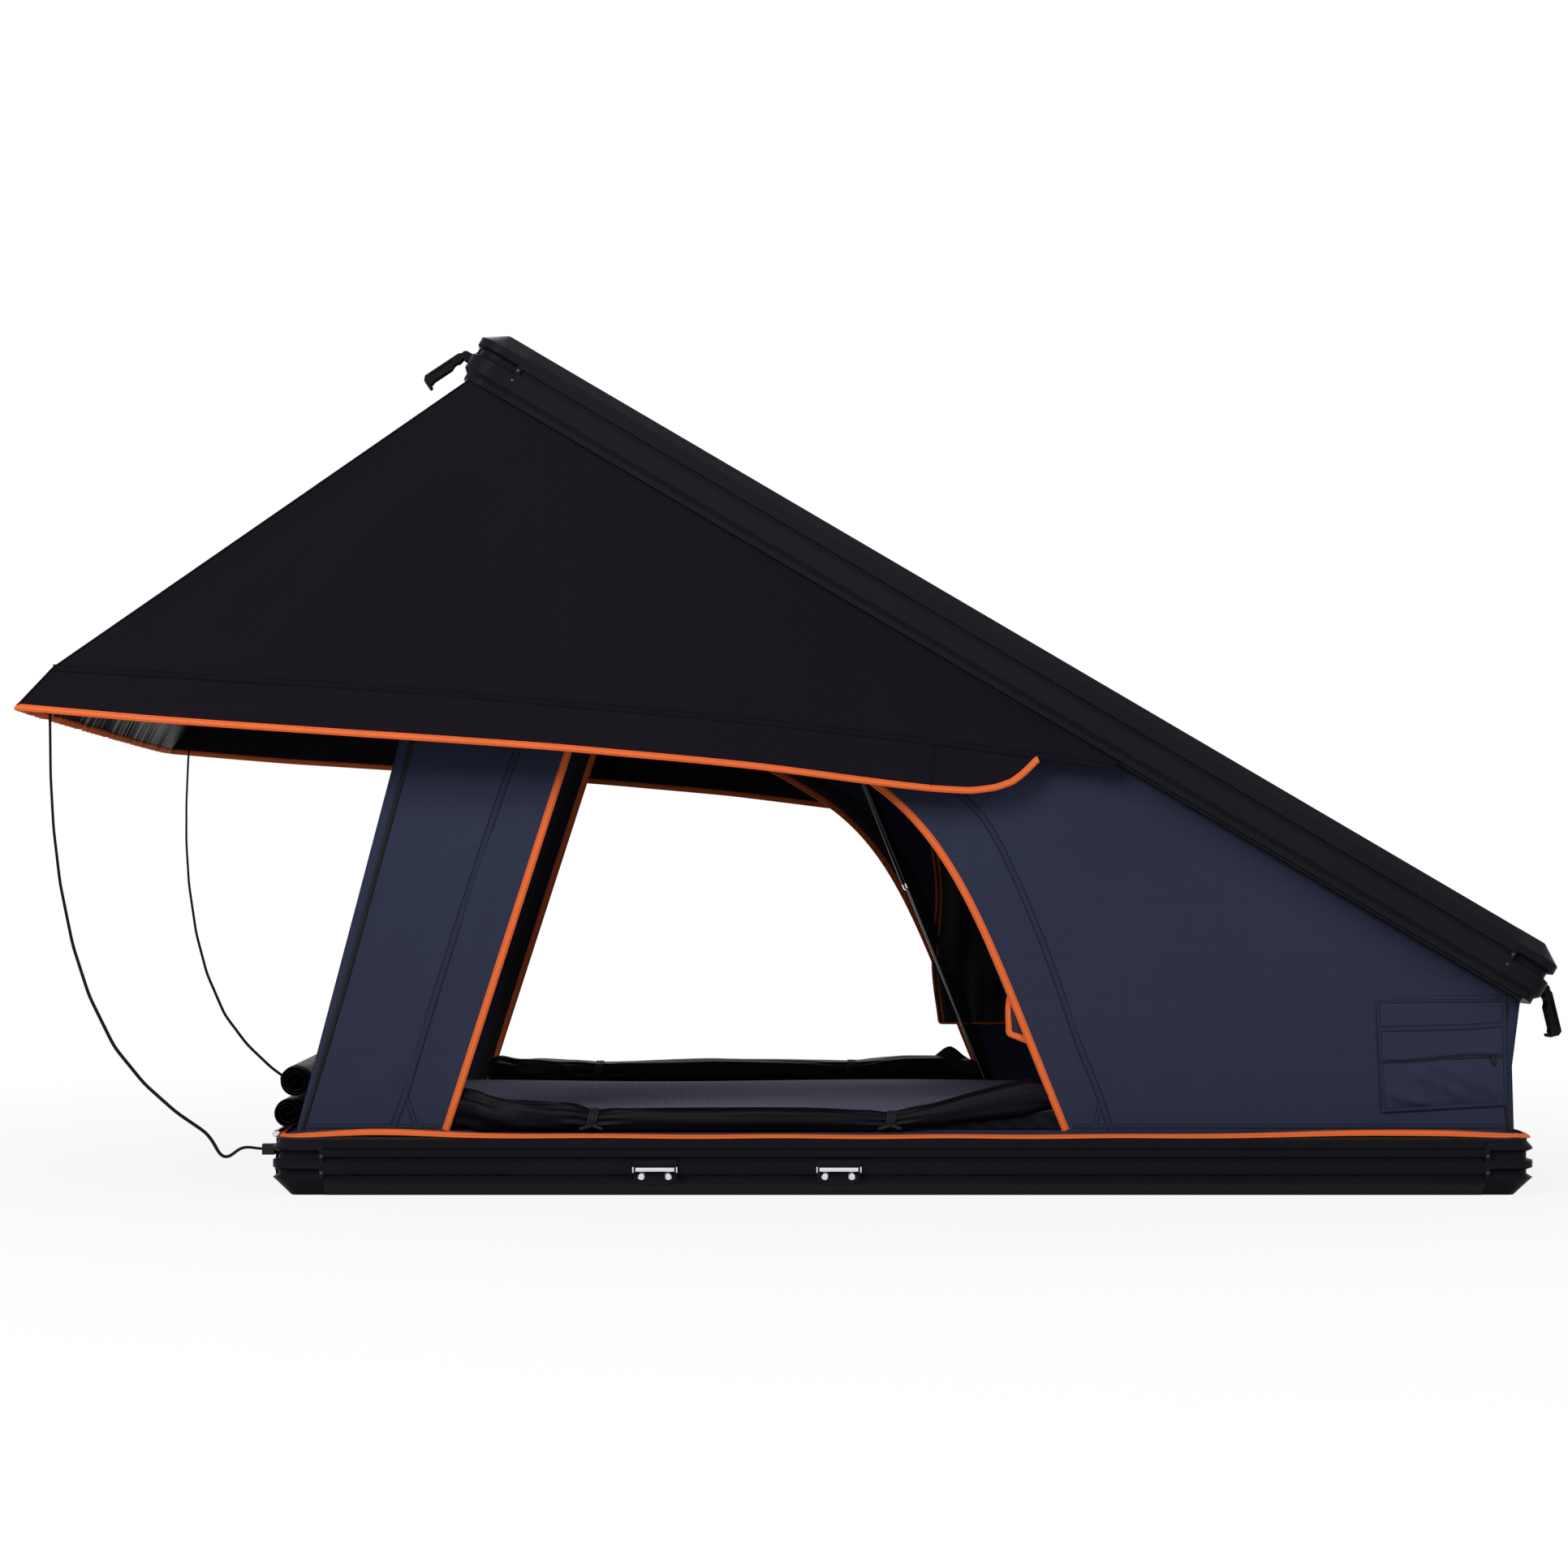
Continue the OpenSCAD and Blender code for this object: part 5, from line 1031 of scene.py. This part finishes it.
def pocket():
    """Slack patch pocket: the upper part lies flat on the wall, a flap edge steps down to the pouch, which
    stands out in low folds and comes back to the wall at its sides and foot."""
    flat, u, v = quad_grid(POCKET_CORNERS, POCKET_ROWS, POCKET_COLUMNS)
    x, z = flat[..., 0], flat[..., 1]
    side = np.clip(np.minimum(u, 1 - u) / 0.09, 0, 1) * np.clip(np.minimum(v, 1 - v) / 0.07, 0, 1)
    lip = 0.545 - 0.015 * u + 0.01 * np.sin(7 * u)
    flap = 0.0052 * np.clip((v - 0.28) / 0.2, 0, 1) * np.clip((lip - v) / 0.012, 0, 1)
    below = np.clip((v - lip) / (1 - lip), 0, 1)
    pouch = np.clip((v - lip) / 0.04, 0, 1) * (0.0042 * np.sin(math.pi * below) ** 0.7)
    folds = crease(x, z, POCKET_CREASES)
    out = 0.0028 + side * (flap + pouch + folds + wall_relief(x, z, NEAR_CREASES))
    points = np.stack([x, -(WALL_Y + out), z], 2)
    piece = grid_piece("pocket_sewn", points[::-1], [wall_cloth], uv=flat[::-1], thick=WALL_THICK)
    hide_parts("pocket")
    on_base(piece)
    for word, first, last, level, half_width, tape in (
            ("fold_seam", 0.015, 0.985, (0.275, 0.262), 0.0055, navy_seam),
            ("top_seam", 0.015, 0.985, (0.03, 0.03), 0.0028, navy_seam),
            ("zip", 0.02, 0.98, (0.562, 0.547), 0.0022, black_tape)):
        row = np.rint(np.linspace(*level, 40) * (POCKET_ROWS - 1)).astype(int)
        column = np.rint(np.linspace(first, last, 40) * (POCKET_COLUMNS - 1)).astype(int)
        pocket_stitching(f"pocket_{word}", points[row, column], 0.0011, 6, (half_width, 0.0008), tape)
    for word, line in (("head", points[4:-4, 2]), ("foot_row", points[-3, 4:-4]),
                       ("back", points[-5:3:-1, -3])):
        pocket_stitching(f"pocket_seam_{word}", line, 0.0009, 4, (0.004, 0.0009), navy_seam)
    pull = points[PULL_ROW, PULL_COLUMN] - np.array([0, 0.003, 0])
    tab = pull + np.array([[0, 0, 0.004], [0.001, -0.0005, -0.004], [0.002, -0.001, -0.012],
                           [0.003, 0, -0.02]])
    on_base(sweep("pocket_zip_pull", spline(tab, 30), (1, 0, 0.1), 0.0036, 0.0016, [black_tape], taper=0.1))


# Corners of the flaps in X and Z: top edge, then foot
FAR_FLAP = ((0.165, 0.640), (0.420, 0.518), (0.331, 0.232), (0.185, 0.232))
NEAR_FLAP = ((0.215, 0.470), (0.380, 0.450), (0.300, 0.225), (0.183, 0.271))


def inner_flap(name, corners, y, replaced=None):
    """Loose flap of the rolled door's panel beside the opening: nearly flat, with soft folds that run down
    it, orange binding on its free edge and foot, and on the far flap a second strip where the edge folds
    back."""
    flat, u, v = quad_grid(corners, 60, 44)
    x, z = flat[..., 0], flat[..., 1]
    x = x + 0.012 * (1 - u) * np.sin(math.pi * v) * np.sin(5 * v + 0.6)
    wave = 0.0018 * np.sin(13 * u + 4 * v) * np.sin(math.pi * v) + 0.0006 * np.sin(29 * u - 5 * v)
    points = np.stack([x, y + wave, z], 2)
    turned = points if y > 0 else points[::-1]
    piece = grid_piece(name, turned, [flap_cloth], uv=flat if y > 0 else flat[::-1], thick=0.0008)
    if replaced:
        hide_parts(replaced)
    on_base(piece)
    edge = np.concatenate([points[:, 0], points[-1, 1:]])
    strips = [("binding", edge, 0.0055)]
    if replaced:
        strips = [("binding", edge, 0.0023), ("fold", points[:, 0] + np.array([0.0098, -0.0008, 0]), 0.0021)]
    for word, line, half_wide in strips:
        path = resample(line, 150)
        strip = sweep(f"{name}_{word}", soften(path, 2), wall_across(path), half_wide, 0.0013, [orange_tape])
        on_base(strip)


pocket()
inner_flap("inner_flap_sewn", FAR_FLAP, 0.6502, "inner_flap")
inner_flap("inner_flap_near", NEAR_FLAP, -0.6492)


# Rolled doors: stations along each roll give its X in metres, then the heights of its top and of its
# underside over the sill in millimetres

NEAR_ROLL = [(-0.768, 50, 0), (-0.758, 72, 0), (-0.720, 69, 0), (-0.700, 60, 0), (-0.660, 53, 0),
             (-0.610, 50, 0), (-0.555, 46, 0), (-0.535, 38, 0), (-0.525, 33, 0), (-0.510, 35, 0),
             (-0.485, 38, 0), (-0.430, 39, 0), (-0.230, 41, 0), (-0.160, 40, 0), (-0.085, 36, 0),
             (-0.045, 33, 0), (-0.020, 29, 1), (0.005, 36, 3), (0.055, 48, 8), (0.110, 64, 15),
             (0.155, 75, 20), (0.190, 84, 24), (0.215, 89, 27), (0.235, 87, 30), (0.256, 72, 32),
             (0.268, 56, 34)]
FAR_ROLL = [(-0.770, 44, 0), (-0.762, 56, 0), (-0.735, 58, 0), (-0.715, 50, 0), (-0.690, 51, 0),
            (-0.660, 52, 0), (-0.560, 45, 0), (-0.538, 43, 0), (-0.500, 43, 0), (-0.430, 47, 0),
            (-0.300, 52, 0), (-0.180, 50, 0), (-0.060, 47, 0), (-0.005, 45, 0), (0.020, 47, 0),
            (0.065, 54, 0), (0.110, 58, 0), (0.180, 58, 0), (0.230, 54, 0), (0.264, 46, 0), (0.273, 36, 0)]
NEAR_TIES, FAR_TIES = (-0.525, -0.020), (-0.538, -0.005)
SILL_SAG = 0.005
SILL_GAP = 0.0006
END_TUCK = 0.027
ROLL_DEPTH = 0.0245
ROLL_ROWS, ROLL_COLUMNS = 420, 72
SILL_START, SILL_END = -0.02, 0.262

# Ties: turn round the roll, distance of strands, then half sizes of strands, of tails and of the head bands
TIE_LAP = np.linspace(0, 2 * math.pi, 61)
TIE_PITCH = 0.0056
TIE_STRAND = (0.0029, 0.0022)
TIE_TAIL = (0.003, 0.0014)
TIE_BAND = (0.0115, 0.0009)


def bell(value, width):
    """Bell curve about 0."""
    return np.exp(-(value / width) ** 2)


def door_roll(word, side, stations, ties, square):
    """Rolled mesh door on the sill: a tube whose top and underside follow its stations. The winding's edge
    shows as shallow grooves that wander along it, cloth gathers at each tie, and the head end fans out in
    slanting folds. Both ends are tucked in behind the wall, and the near roll's outer half sags over the
    sill."""
    table = np.array(stations)
    x = np.linspace(table[0, 0], table[-1, 0], ROLL_ROWS)
    top, under = (soften(np.interp(x, table[:, 0], table[:, k])[:, None], 30)[:, 0] / 1000 for k in (1, 2))
    half = (top - under) / 2
    turn = full_turn(ROLL_COLUMNS)
    u, v = x[:, None], turn[None]
    grooves = sum(-0.055 * bell(np.angle(np.exp(1j * (v - place - wander * np.sin(pace * u + place)))), 0.17)
                  for place, wander, pace in ((2.75, 0.22, 6.0), (1.9, 0.3, 4.0), (0.6, 0.3, 5.0),
                                              (3.6, 0.16, 9.0)))
    gather = sum(bell(u - tie, 0.05) * (0.10 * np.sin(9 * v + 1.3) + 0.06 * np.sin(15 * v)) for tie in ties)
    fan = 0.085 * np.clip((-0.58 - u) / 0.1, 0, 1) * np.sin(5 * v - 40 * (u + 0.75))
    creep = 0.02 * np.sin(2 * v + 17 * u) + 0.012 * np.sin(3 * v - 29 * u)
    size = 0.97 + grooves + gather + fan + creep
    ring = rounded(turn, 2 / square)
    deep = np.minimum(half * 1.08, ROLL_DEPTH)
    near_end = np.clip(1 - np.minimum(x - x[0], x[-1] - x) / 0.07, 0, 1)
    tuck = END_TUCK * near_end * near_end * (3 - 2 * near_end)
    y = side * (WALL_Y - tuck)[:, None] + deep[:, None] * np.minimum(size, 1.03) * ring[0][None]
    z = DOOR_Z + SILL_GAP + (under + half)[:, None] + half[:, None] * np.minimum(size, 1.03) * ring[1][None]
    over = np.clip((side * y - WALL_Y - 0.001) / 0.005, 0, 1) * (side == NEAR)
    z = np.maximum(z, DOOR_Z + SILL_GAP) - SILL_SAG * over * np.clip(-ring[1], 0, 1)[None]
    points = np.stack([np.broadcast_to(u, y.shape), y, z], 2)
    cap = points[[0, -1]].mean(1, keepdims=True) + 0 * points[[0, -1]]
    roll = grid_piece(f"mesh_roll_{word}_rolled", np.concatenate([cap[:1], points, cap[1:]]), [net_cloth],
                      around=True, merge=True)
    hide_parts(f"mesh_roll_{word}")
    on_base(roll)
    for number, tie in enumerate(ties):
        low, high, wide = (float(np.interp(tie, x, value)) for value in (under, top, deep))
        middle, tall = DOOR_Z + SILL_GAP + (low + high) / 2, (high - low + 0.0012) / 2
        for strand in (-1, 0, 1):
            loop = np.stack([tie + TIE_PITCH * strand + 0.004 * np.sin(TIE_LAP),
                             side * WALL_Y + (wide + 0.0006) * np.cos(TIE_LAP),
                             np.maximum(middle + tall * np.sin(TIE_LAP), DOOR_Z + 0.0026)], 1)
            band = sweep(f"roll_tie_{word}_{number}_{strand + 1}", loop, (1, 0, 0), *TIE_STRAND,
                         [black_tape], around=10)
            on_base(band)
        foot = np.array([tie, side * (WALL_Y + 0.024), DOOR_Z + 0.006])
        for tail, reach in enumerate((-0.022, 0.018)):
            path = foot + np.array([[0, 0, 0.004], [reach * 0.4, side * 0.002, 0.002],
                                    [reach, side * 0.003, -0.002]])
            end = sweep(f"roll_tail_{word}_{number}_{tail}", spline(path, 24), (0, 0.2, 1), *TIE_TAIL,
                        [black_tape], around=10, taper=0.1)
            on_base(end)


def sill_mesh():
    """Strip of the near door's mesh that stands on the sill under the lifted end of the roll: flat in the
    wall's plane, its top tucked into the roll and its end on the door's slanted edge, with fine upright
    ripples."""
    table = np.array(NEAR_ROLL)
    x = np.linspace(SILL_START, SILL_END, 120)[None]
    top = np.interp(x, table[:, 0], table[:, 2]) / 1000 + 0.010 * np.clip((0.22 - x) / 0.05, 0.1, 1)
    share = np.linspace(0, 1, 16)[:, None]
    z = DOOR_Z + 0.0012 + top * share
    y = -WALL_Y + 0.0008 * np.sin(160 * x + 2 * share) * np.sin(math.pi * share)
    slant = (0.017 - 0.41 * top * share) * (x - SILL_START) / (SILL_END - SILL_START)
    points = np.stack([x + slant, y, z], 2)
    piece = grid_piece("mesh_sill_near", points, [net_cloth], thick=0.0008)
    on_base(piece)


def folded_corner():
    """Corner of the far door's mesh that stands up from the foot end of its roll: rows fall from a peaked
    edge to the roll, and the cloth folds over itself along the peak."""
    peak = spline([(0.150, 0.156), (0.176, 0.163), (0.196, 0.180), (0.208, 0.1845), (0.220, 0.178),
                   (0.236, 0.164), (0.256, 0.152)], 60)
    share = np.linspace(0, 1, 20)[:, None]
    x = peak[None, :, 0] + 0.004 * np.sin(3 * share)
    z = peak[None, :, 1] * (1 - share) + 0.140 * share
    fold = 0.006 * np.sin(60 * (x - 0.15)) * (1 - share) - 0.004 * share
    points = np.stack([x, 0.645 + fold, z], 2)
    piece = grid_piece("mesh_corner_far", points, [net_cloth], thick=0.0012)
    on_base(piece)


# Head rolls: half their width, where their ties sit, and their grid
HEAD_ROLL_HALF = 0.6228
HEAD_TIE_Y = 0.599
HEAD_ROLL_ROWS, HEAD_ROLL_COLUMNS = 190, 170


def head_roll(name, radius, turns, phase, tucks):
    """Rolled head door in the space that its CAD solid holds: a sheet wound in a spiral about an axis across
    the tent. Its ends stay open, so the windings show, and the cloth ripples a little along its length."""
    low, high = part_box(name)
    x, z = (low[0] + high[0]) / 2, (low[2] + high[2]) / 2
    across = np.linspace(-HEAD_ROLL_HALF, HEAD_ROLL_HALF, HEAD_ROLL_ROWS)[:, None]
    wound = np.linspace(0, 1, HEAD_ROLL_COLUMNS)[None]
    angle = phase + 2 * math.pi * turns * wound
    inner = radius * 0.52
    spiral = inner + (radius - 0.0008 - inner) * np.clip(wound * turns / (turns - 1), 0, 1)
    tie = bell(np.abs(across) - HEAD_TIE_Y, 0.02)
    ripple = 0.022 * np.sin(61 * across + 2 * np.sin(17 * across)) * np.sin(angle * 1.5) * (1 - tie)
    ring = spiral * np.minimum(1 - 0.10 * tie + ripple, 1.0)
    points = np.stack([x + ring * np.cos(angle), across + 0 * ring, z + ring * np.sin(angle)], 2)
    roll = grid_piece(name + "_wound", points, [net_cloth], thick=0.0009)
    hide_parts(name)
    on_base(roll, tucks=tucks)
    reach = radius * 0.92 + 0.0012
    for word, side in (("near", NEAR), ("far", FAR)):
        loop = np.stack([x + reach * np.cos(TIE_LAP), np.full(len(TIE_LAP), side * HEAD_TIE_Y),
                         z + reach * np.sin(TIE_LAP)], 1)
        band = sweep(f"{name}_tie_{word}", loop, (0, 1, 0), *TIE_BAND, [black_tape])
        on_base(band, tucks=tucks)


door_roll("near", NEAR, NEAR_ROLL, NEAR_TIES, 2.2)
door_roll("far", FAR, FAR_ROLL, FAR_TIES, 2.8)
sill_mesh()
folded_corner()
head_roll("head_roll_upper", 0.026, 3.4, 0.5, tucks=False)
head_roll("head_roll_lower", 0.024, 2.8, 1.2, tucks=True)
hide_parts("roll_ties")


# Mattress

MATTRESS_HALF = (0.985, 0.575)
MATTRESS_LOW, MATTRESS_HIGH = 0.0263, 0.1275
MATTRESS_COLUMNS = 360
MATTRESS_RIM_ROW = 50
MATTRESS_PIPING = (0.0026, 0.0026)


def mattress():
    """Foam mattress: rounded-rectangle rings from the middle of the top, out over a soft edge, down the side
    and in under it; the top is crowned and lies in broad shallow hollows."""
    ring = square_ring(full_turn(MATTRESS_COLUMNS), 16)
    rim_turn, foot_turn = np.linspace(0.1, math.pi / 2, 9), np.linspace(0.15, math.pi / 2, 7)
    profile = [(s, 1.0) for s in np.linspace(0, 0.965, 46)]
    profile += [(1 - 0.035 * (1 - math.sin(w)), 1 - 0.16 * (1 - math.cos(w))) for w in rim_turn]
    profile += [(1.0 - 0.003 * math.sin(math.pi * v / 0.84), v) for v in np.linspace(0.82, 0.13, 14)]
    profile += [(1 - 0.03 * (1 - math.cos(w)), 0.13 * (1 - math.sin(w))) for w in foot_turn]
    profile += [(s, 0.0) for s in np.linspace(0.93, 0, 12)]
    share, level = (np.array(p)[:, None] for p in zip(*profile))
    x = MATTRESS_HALF[0] * share * ring[None, :, 0]
    y = MATTRESS_HALF[1] * share * ring[None, :, 1]
    top = np.clip((level - 0.8) / 0.2, 0, 1)
    crown = -0.010 * np.clip(share, 0, 1) ** 4 - 0.0022 * (1 + np.sin(6.3 * x + 1) * np.sin(8 * y))
    z = MATTRESS_LOW + (MATTRESS_HIGH - MATTRESS_LOW) * level + top * crown
    points = np.stack([x, y, z], 2)
    loop = closed(points)
    run = run_length(points[:, 0])[:, None]
    perimeter = run_length(loop[MATTRESS_RIM_ROW])[None]
    on_top = (np.arange(len(profile)) < MATTRESS_RIM_ROW)[:, None]
    uv = np.stack([np.where(on_top, loop[..., 0], perimeter), np.where(on_top, loop[..., 1], run)], 2)
    bands = np.arange(len(profile) - 1) > MATTRESS_RIM_ROW
    piece = grid_piece("mattress_stuffed", points, [mattress_top, mattress_side], uv=uv, around=True,
                       bands=bands, merge=True)
    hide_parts("mattress")
    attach(piece, "base")
    for word, row, out in (("top", MATTRESS_RIM_ROW + 1, 0.0008), ("foot", len(profile) - 16, 0.0004)):
        edge = loop[row]
        away = (edge - edge.mean(0)) * np.array([1, 1, 0])
        away /= np.linalg.norm(away, axis=1, keepdims=True)
        line = edge + out * away - np.array([0, 0, 0.0006])
        cord = sweep(f"mattress_piping_{word}", line, away, *MATTRESS_PIPING, [black_tape], roundness=2.0,
                     around=10)
        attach(cord, "base")


mattress()


# Finishes of the CAD pieces

FINISHES = {"shell_aluminium": shell_paint, "corner_casting": corner_paint, "floor_board": floor_coat,
            "roof_skin": roof_paint, "bare_aluminium": bar_metal, "bright_metal": bright_metal,
            "black_steel": steel_paint, "strut_tube": tube_paint, "black_plastic": black_plastic,
            "seal_rubber": seal_rubber, "wall_cloth": wall_cloth, "fly_cloth": fly_cloth,
            "mesh_cloth": net_cloth, "mattress_cloth": mattress_side, "lining_felt": lining_felt}
# Pieces with a finish of their own: the strut rods, the screws, and the base rails, whose darker paint is
# painted shade
OWN_FINISHES = {
    "strut_rods": rod_metal, "base_corner_screws": screw_metal, "lid_corner_screws": screw_metal,
    **{f"base_rail_{place}": base_paint_painted_shade for place in ("near", "far", "head", "foot")}}


def paint_nodes():
    """Gives each CAD piece the finish of its slot in the record."""
    for entry in frame["record"]["subparts"]:
        piece = nodes[entry["node"]]
        finish = OWN_FINISHES.get(entry["node"], FINISHES[entry["material_slot"]])
        piece.data.materials.clear()
        piece.data.materials.append(finish)


paint_nodes()


# Floor and sky

def seen_directly(tree):
    """1 for rays from the camera, in reflections and through glass, 0 for rays that only bring light."""
    path = add_node(tree, "ShaderNodeLightPath").outputs
    return calc(tree, "MAXIMUM", calc(tree, "MAXIMUM", path["Is Camera Ray"], path["Is Transmission Ray"]),
                path["Is Glossy Ray"])


FLOOR_HALF = 30.0


def add_floor():
    """Wide pale floor: it glows towards the camera, white from 3 m out, and keeps the tent's shadow."""
    mesh = bpy.data.meshes.new("pale_floor")
    corners = [(x * FLOOR_HALF, y * FLOOR_HALF, 0) for x, y in ((-1, -1), (1, -1), (1, 1), (-1, 1))]
    mesh.from_pydata(corners, [], [(0, 1, 2, 3)])
    material = bpy.data.materials.new("pale_floor")
    material.use_nodes = True
    tree = material.node_tree
    tree.nodes.clear()
    place = object_place(tree)
    tint = blend(tree, noise(tree, place, 2.0), (0.60, 0.60, 0.60), (0.64, 0.64, 0.64))
    matt = add_node(tree, "ShaderNodeBsdfDiffuse", {"Color": tint})
    glow = add_node(tree, "ShaderNodeEmission", {"Color": (1, 1, 1, 1), "Strength": 1.0})
    away = add_node(tree, "ShaderNodeVectorMath", {0: place}, operation="LENGTH").outputs["Value"]
    white = add_node(tree, "ShaderNodeMapRange", {0: away, 1: 1.2, 2: 3.2, 3: 0.86, 4: 1.0}).outputs[0]
    share = calc(tree, "MULTIPLY", seen_directly(tree), white)
    mixed = add_node(tree, "ShaderNodeMixShader", {0: share, 1: matt.outputs[0], 2: glow.outputs[0]})
    tree.links.new(mixed.outputs[0], add_node(tree, "ShaderNodeOutputMaterial").inputs[0])
    new_object("pale_floor", mesh, [material])


def add_sky():
    """White to the camera and in reflections, softer as a light."""
    world = bpy.data.worlds.new("white_sweep")
    bpy.context.scene.world = world
    world.use_nodes = True
    tree = world.node_tree
    tree.nodes.clear()
    strength = add_node(tree, "ShaderNodeMapRange", {0: seen_directly(tree), 3: 0.36, 4: 1.0}).outputs[0]
    sky = add_node(tree, "ShaderNodeBackground", {"Color": (1, 1, 1, 1), "Strength": strength})
    tree.links.new(sky.outputs[0], add_node(tree, "ShaderNodeOutputWorld").inputs[0])


add_floor()
add_sky()
add_lamp("key_softbox", (-2.6, -4.6, 3.3), (0, 0, 0.5), 2.6, 255)
add_lamp("fill_softbox", (3.6, -4.0, 2.6), (0.3, 0, 0.5), 3.0, 90)
add_lamp("back_softbox", (0.0, 3.8, 4.6), (0, 0, 0.6), 3.0, 110)

bpy.context.scene.view_settings.view_transform = "Standard"
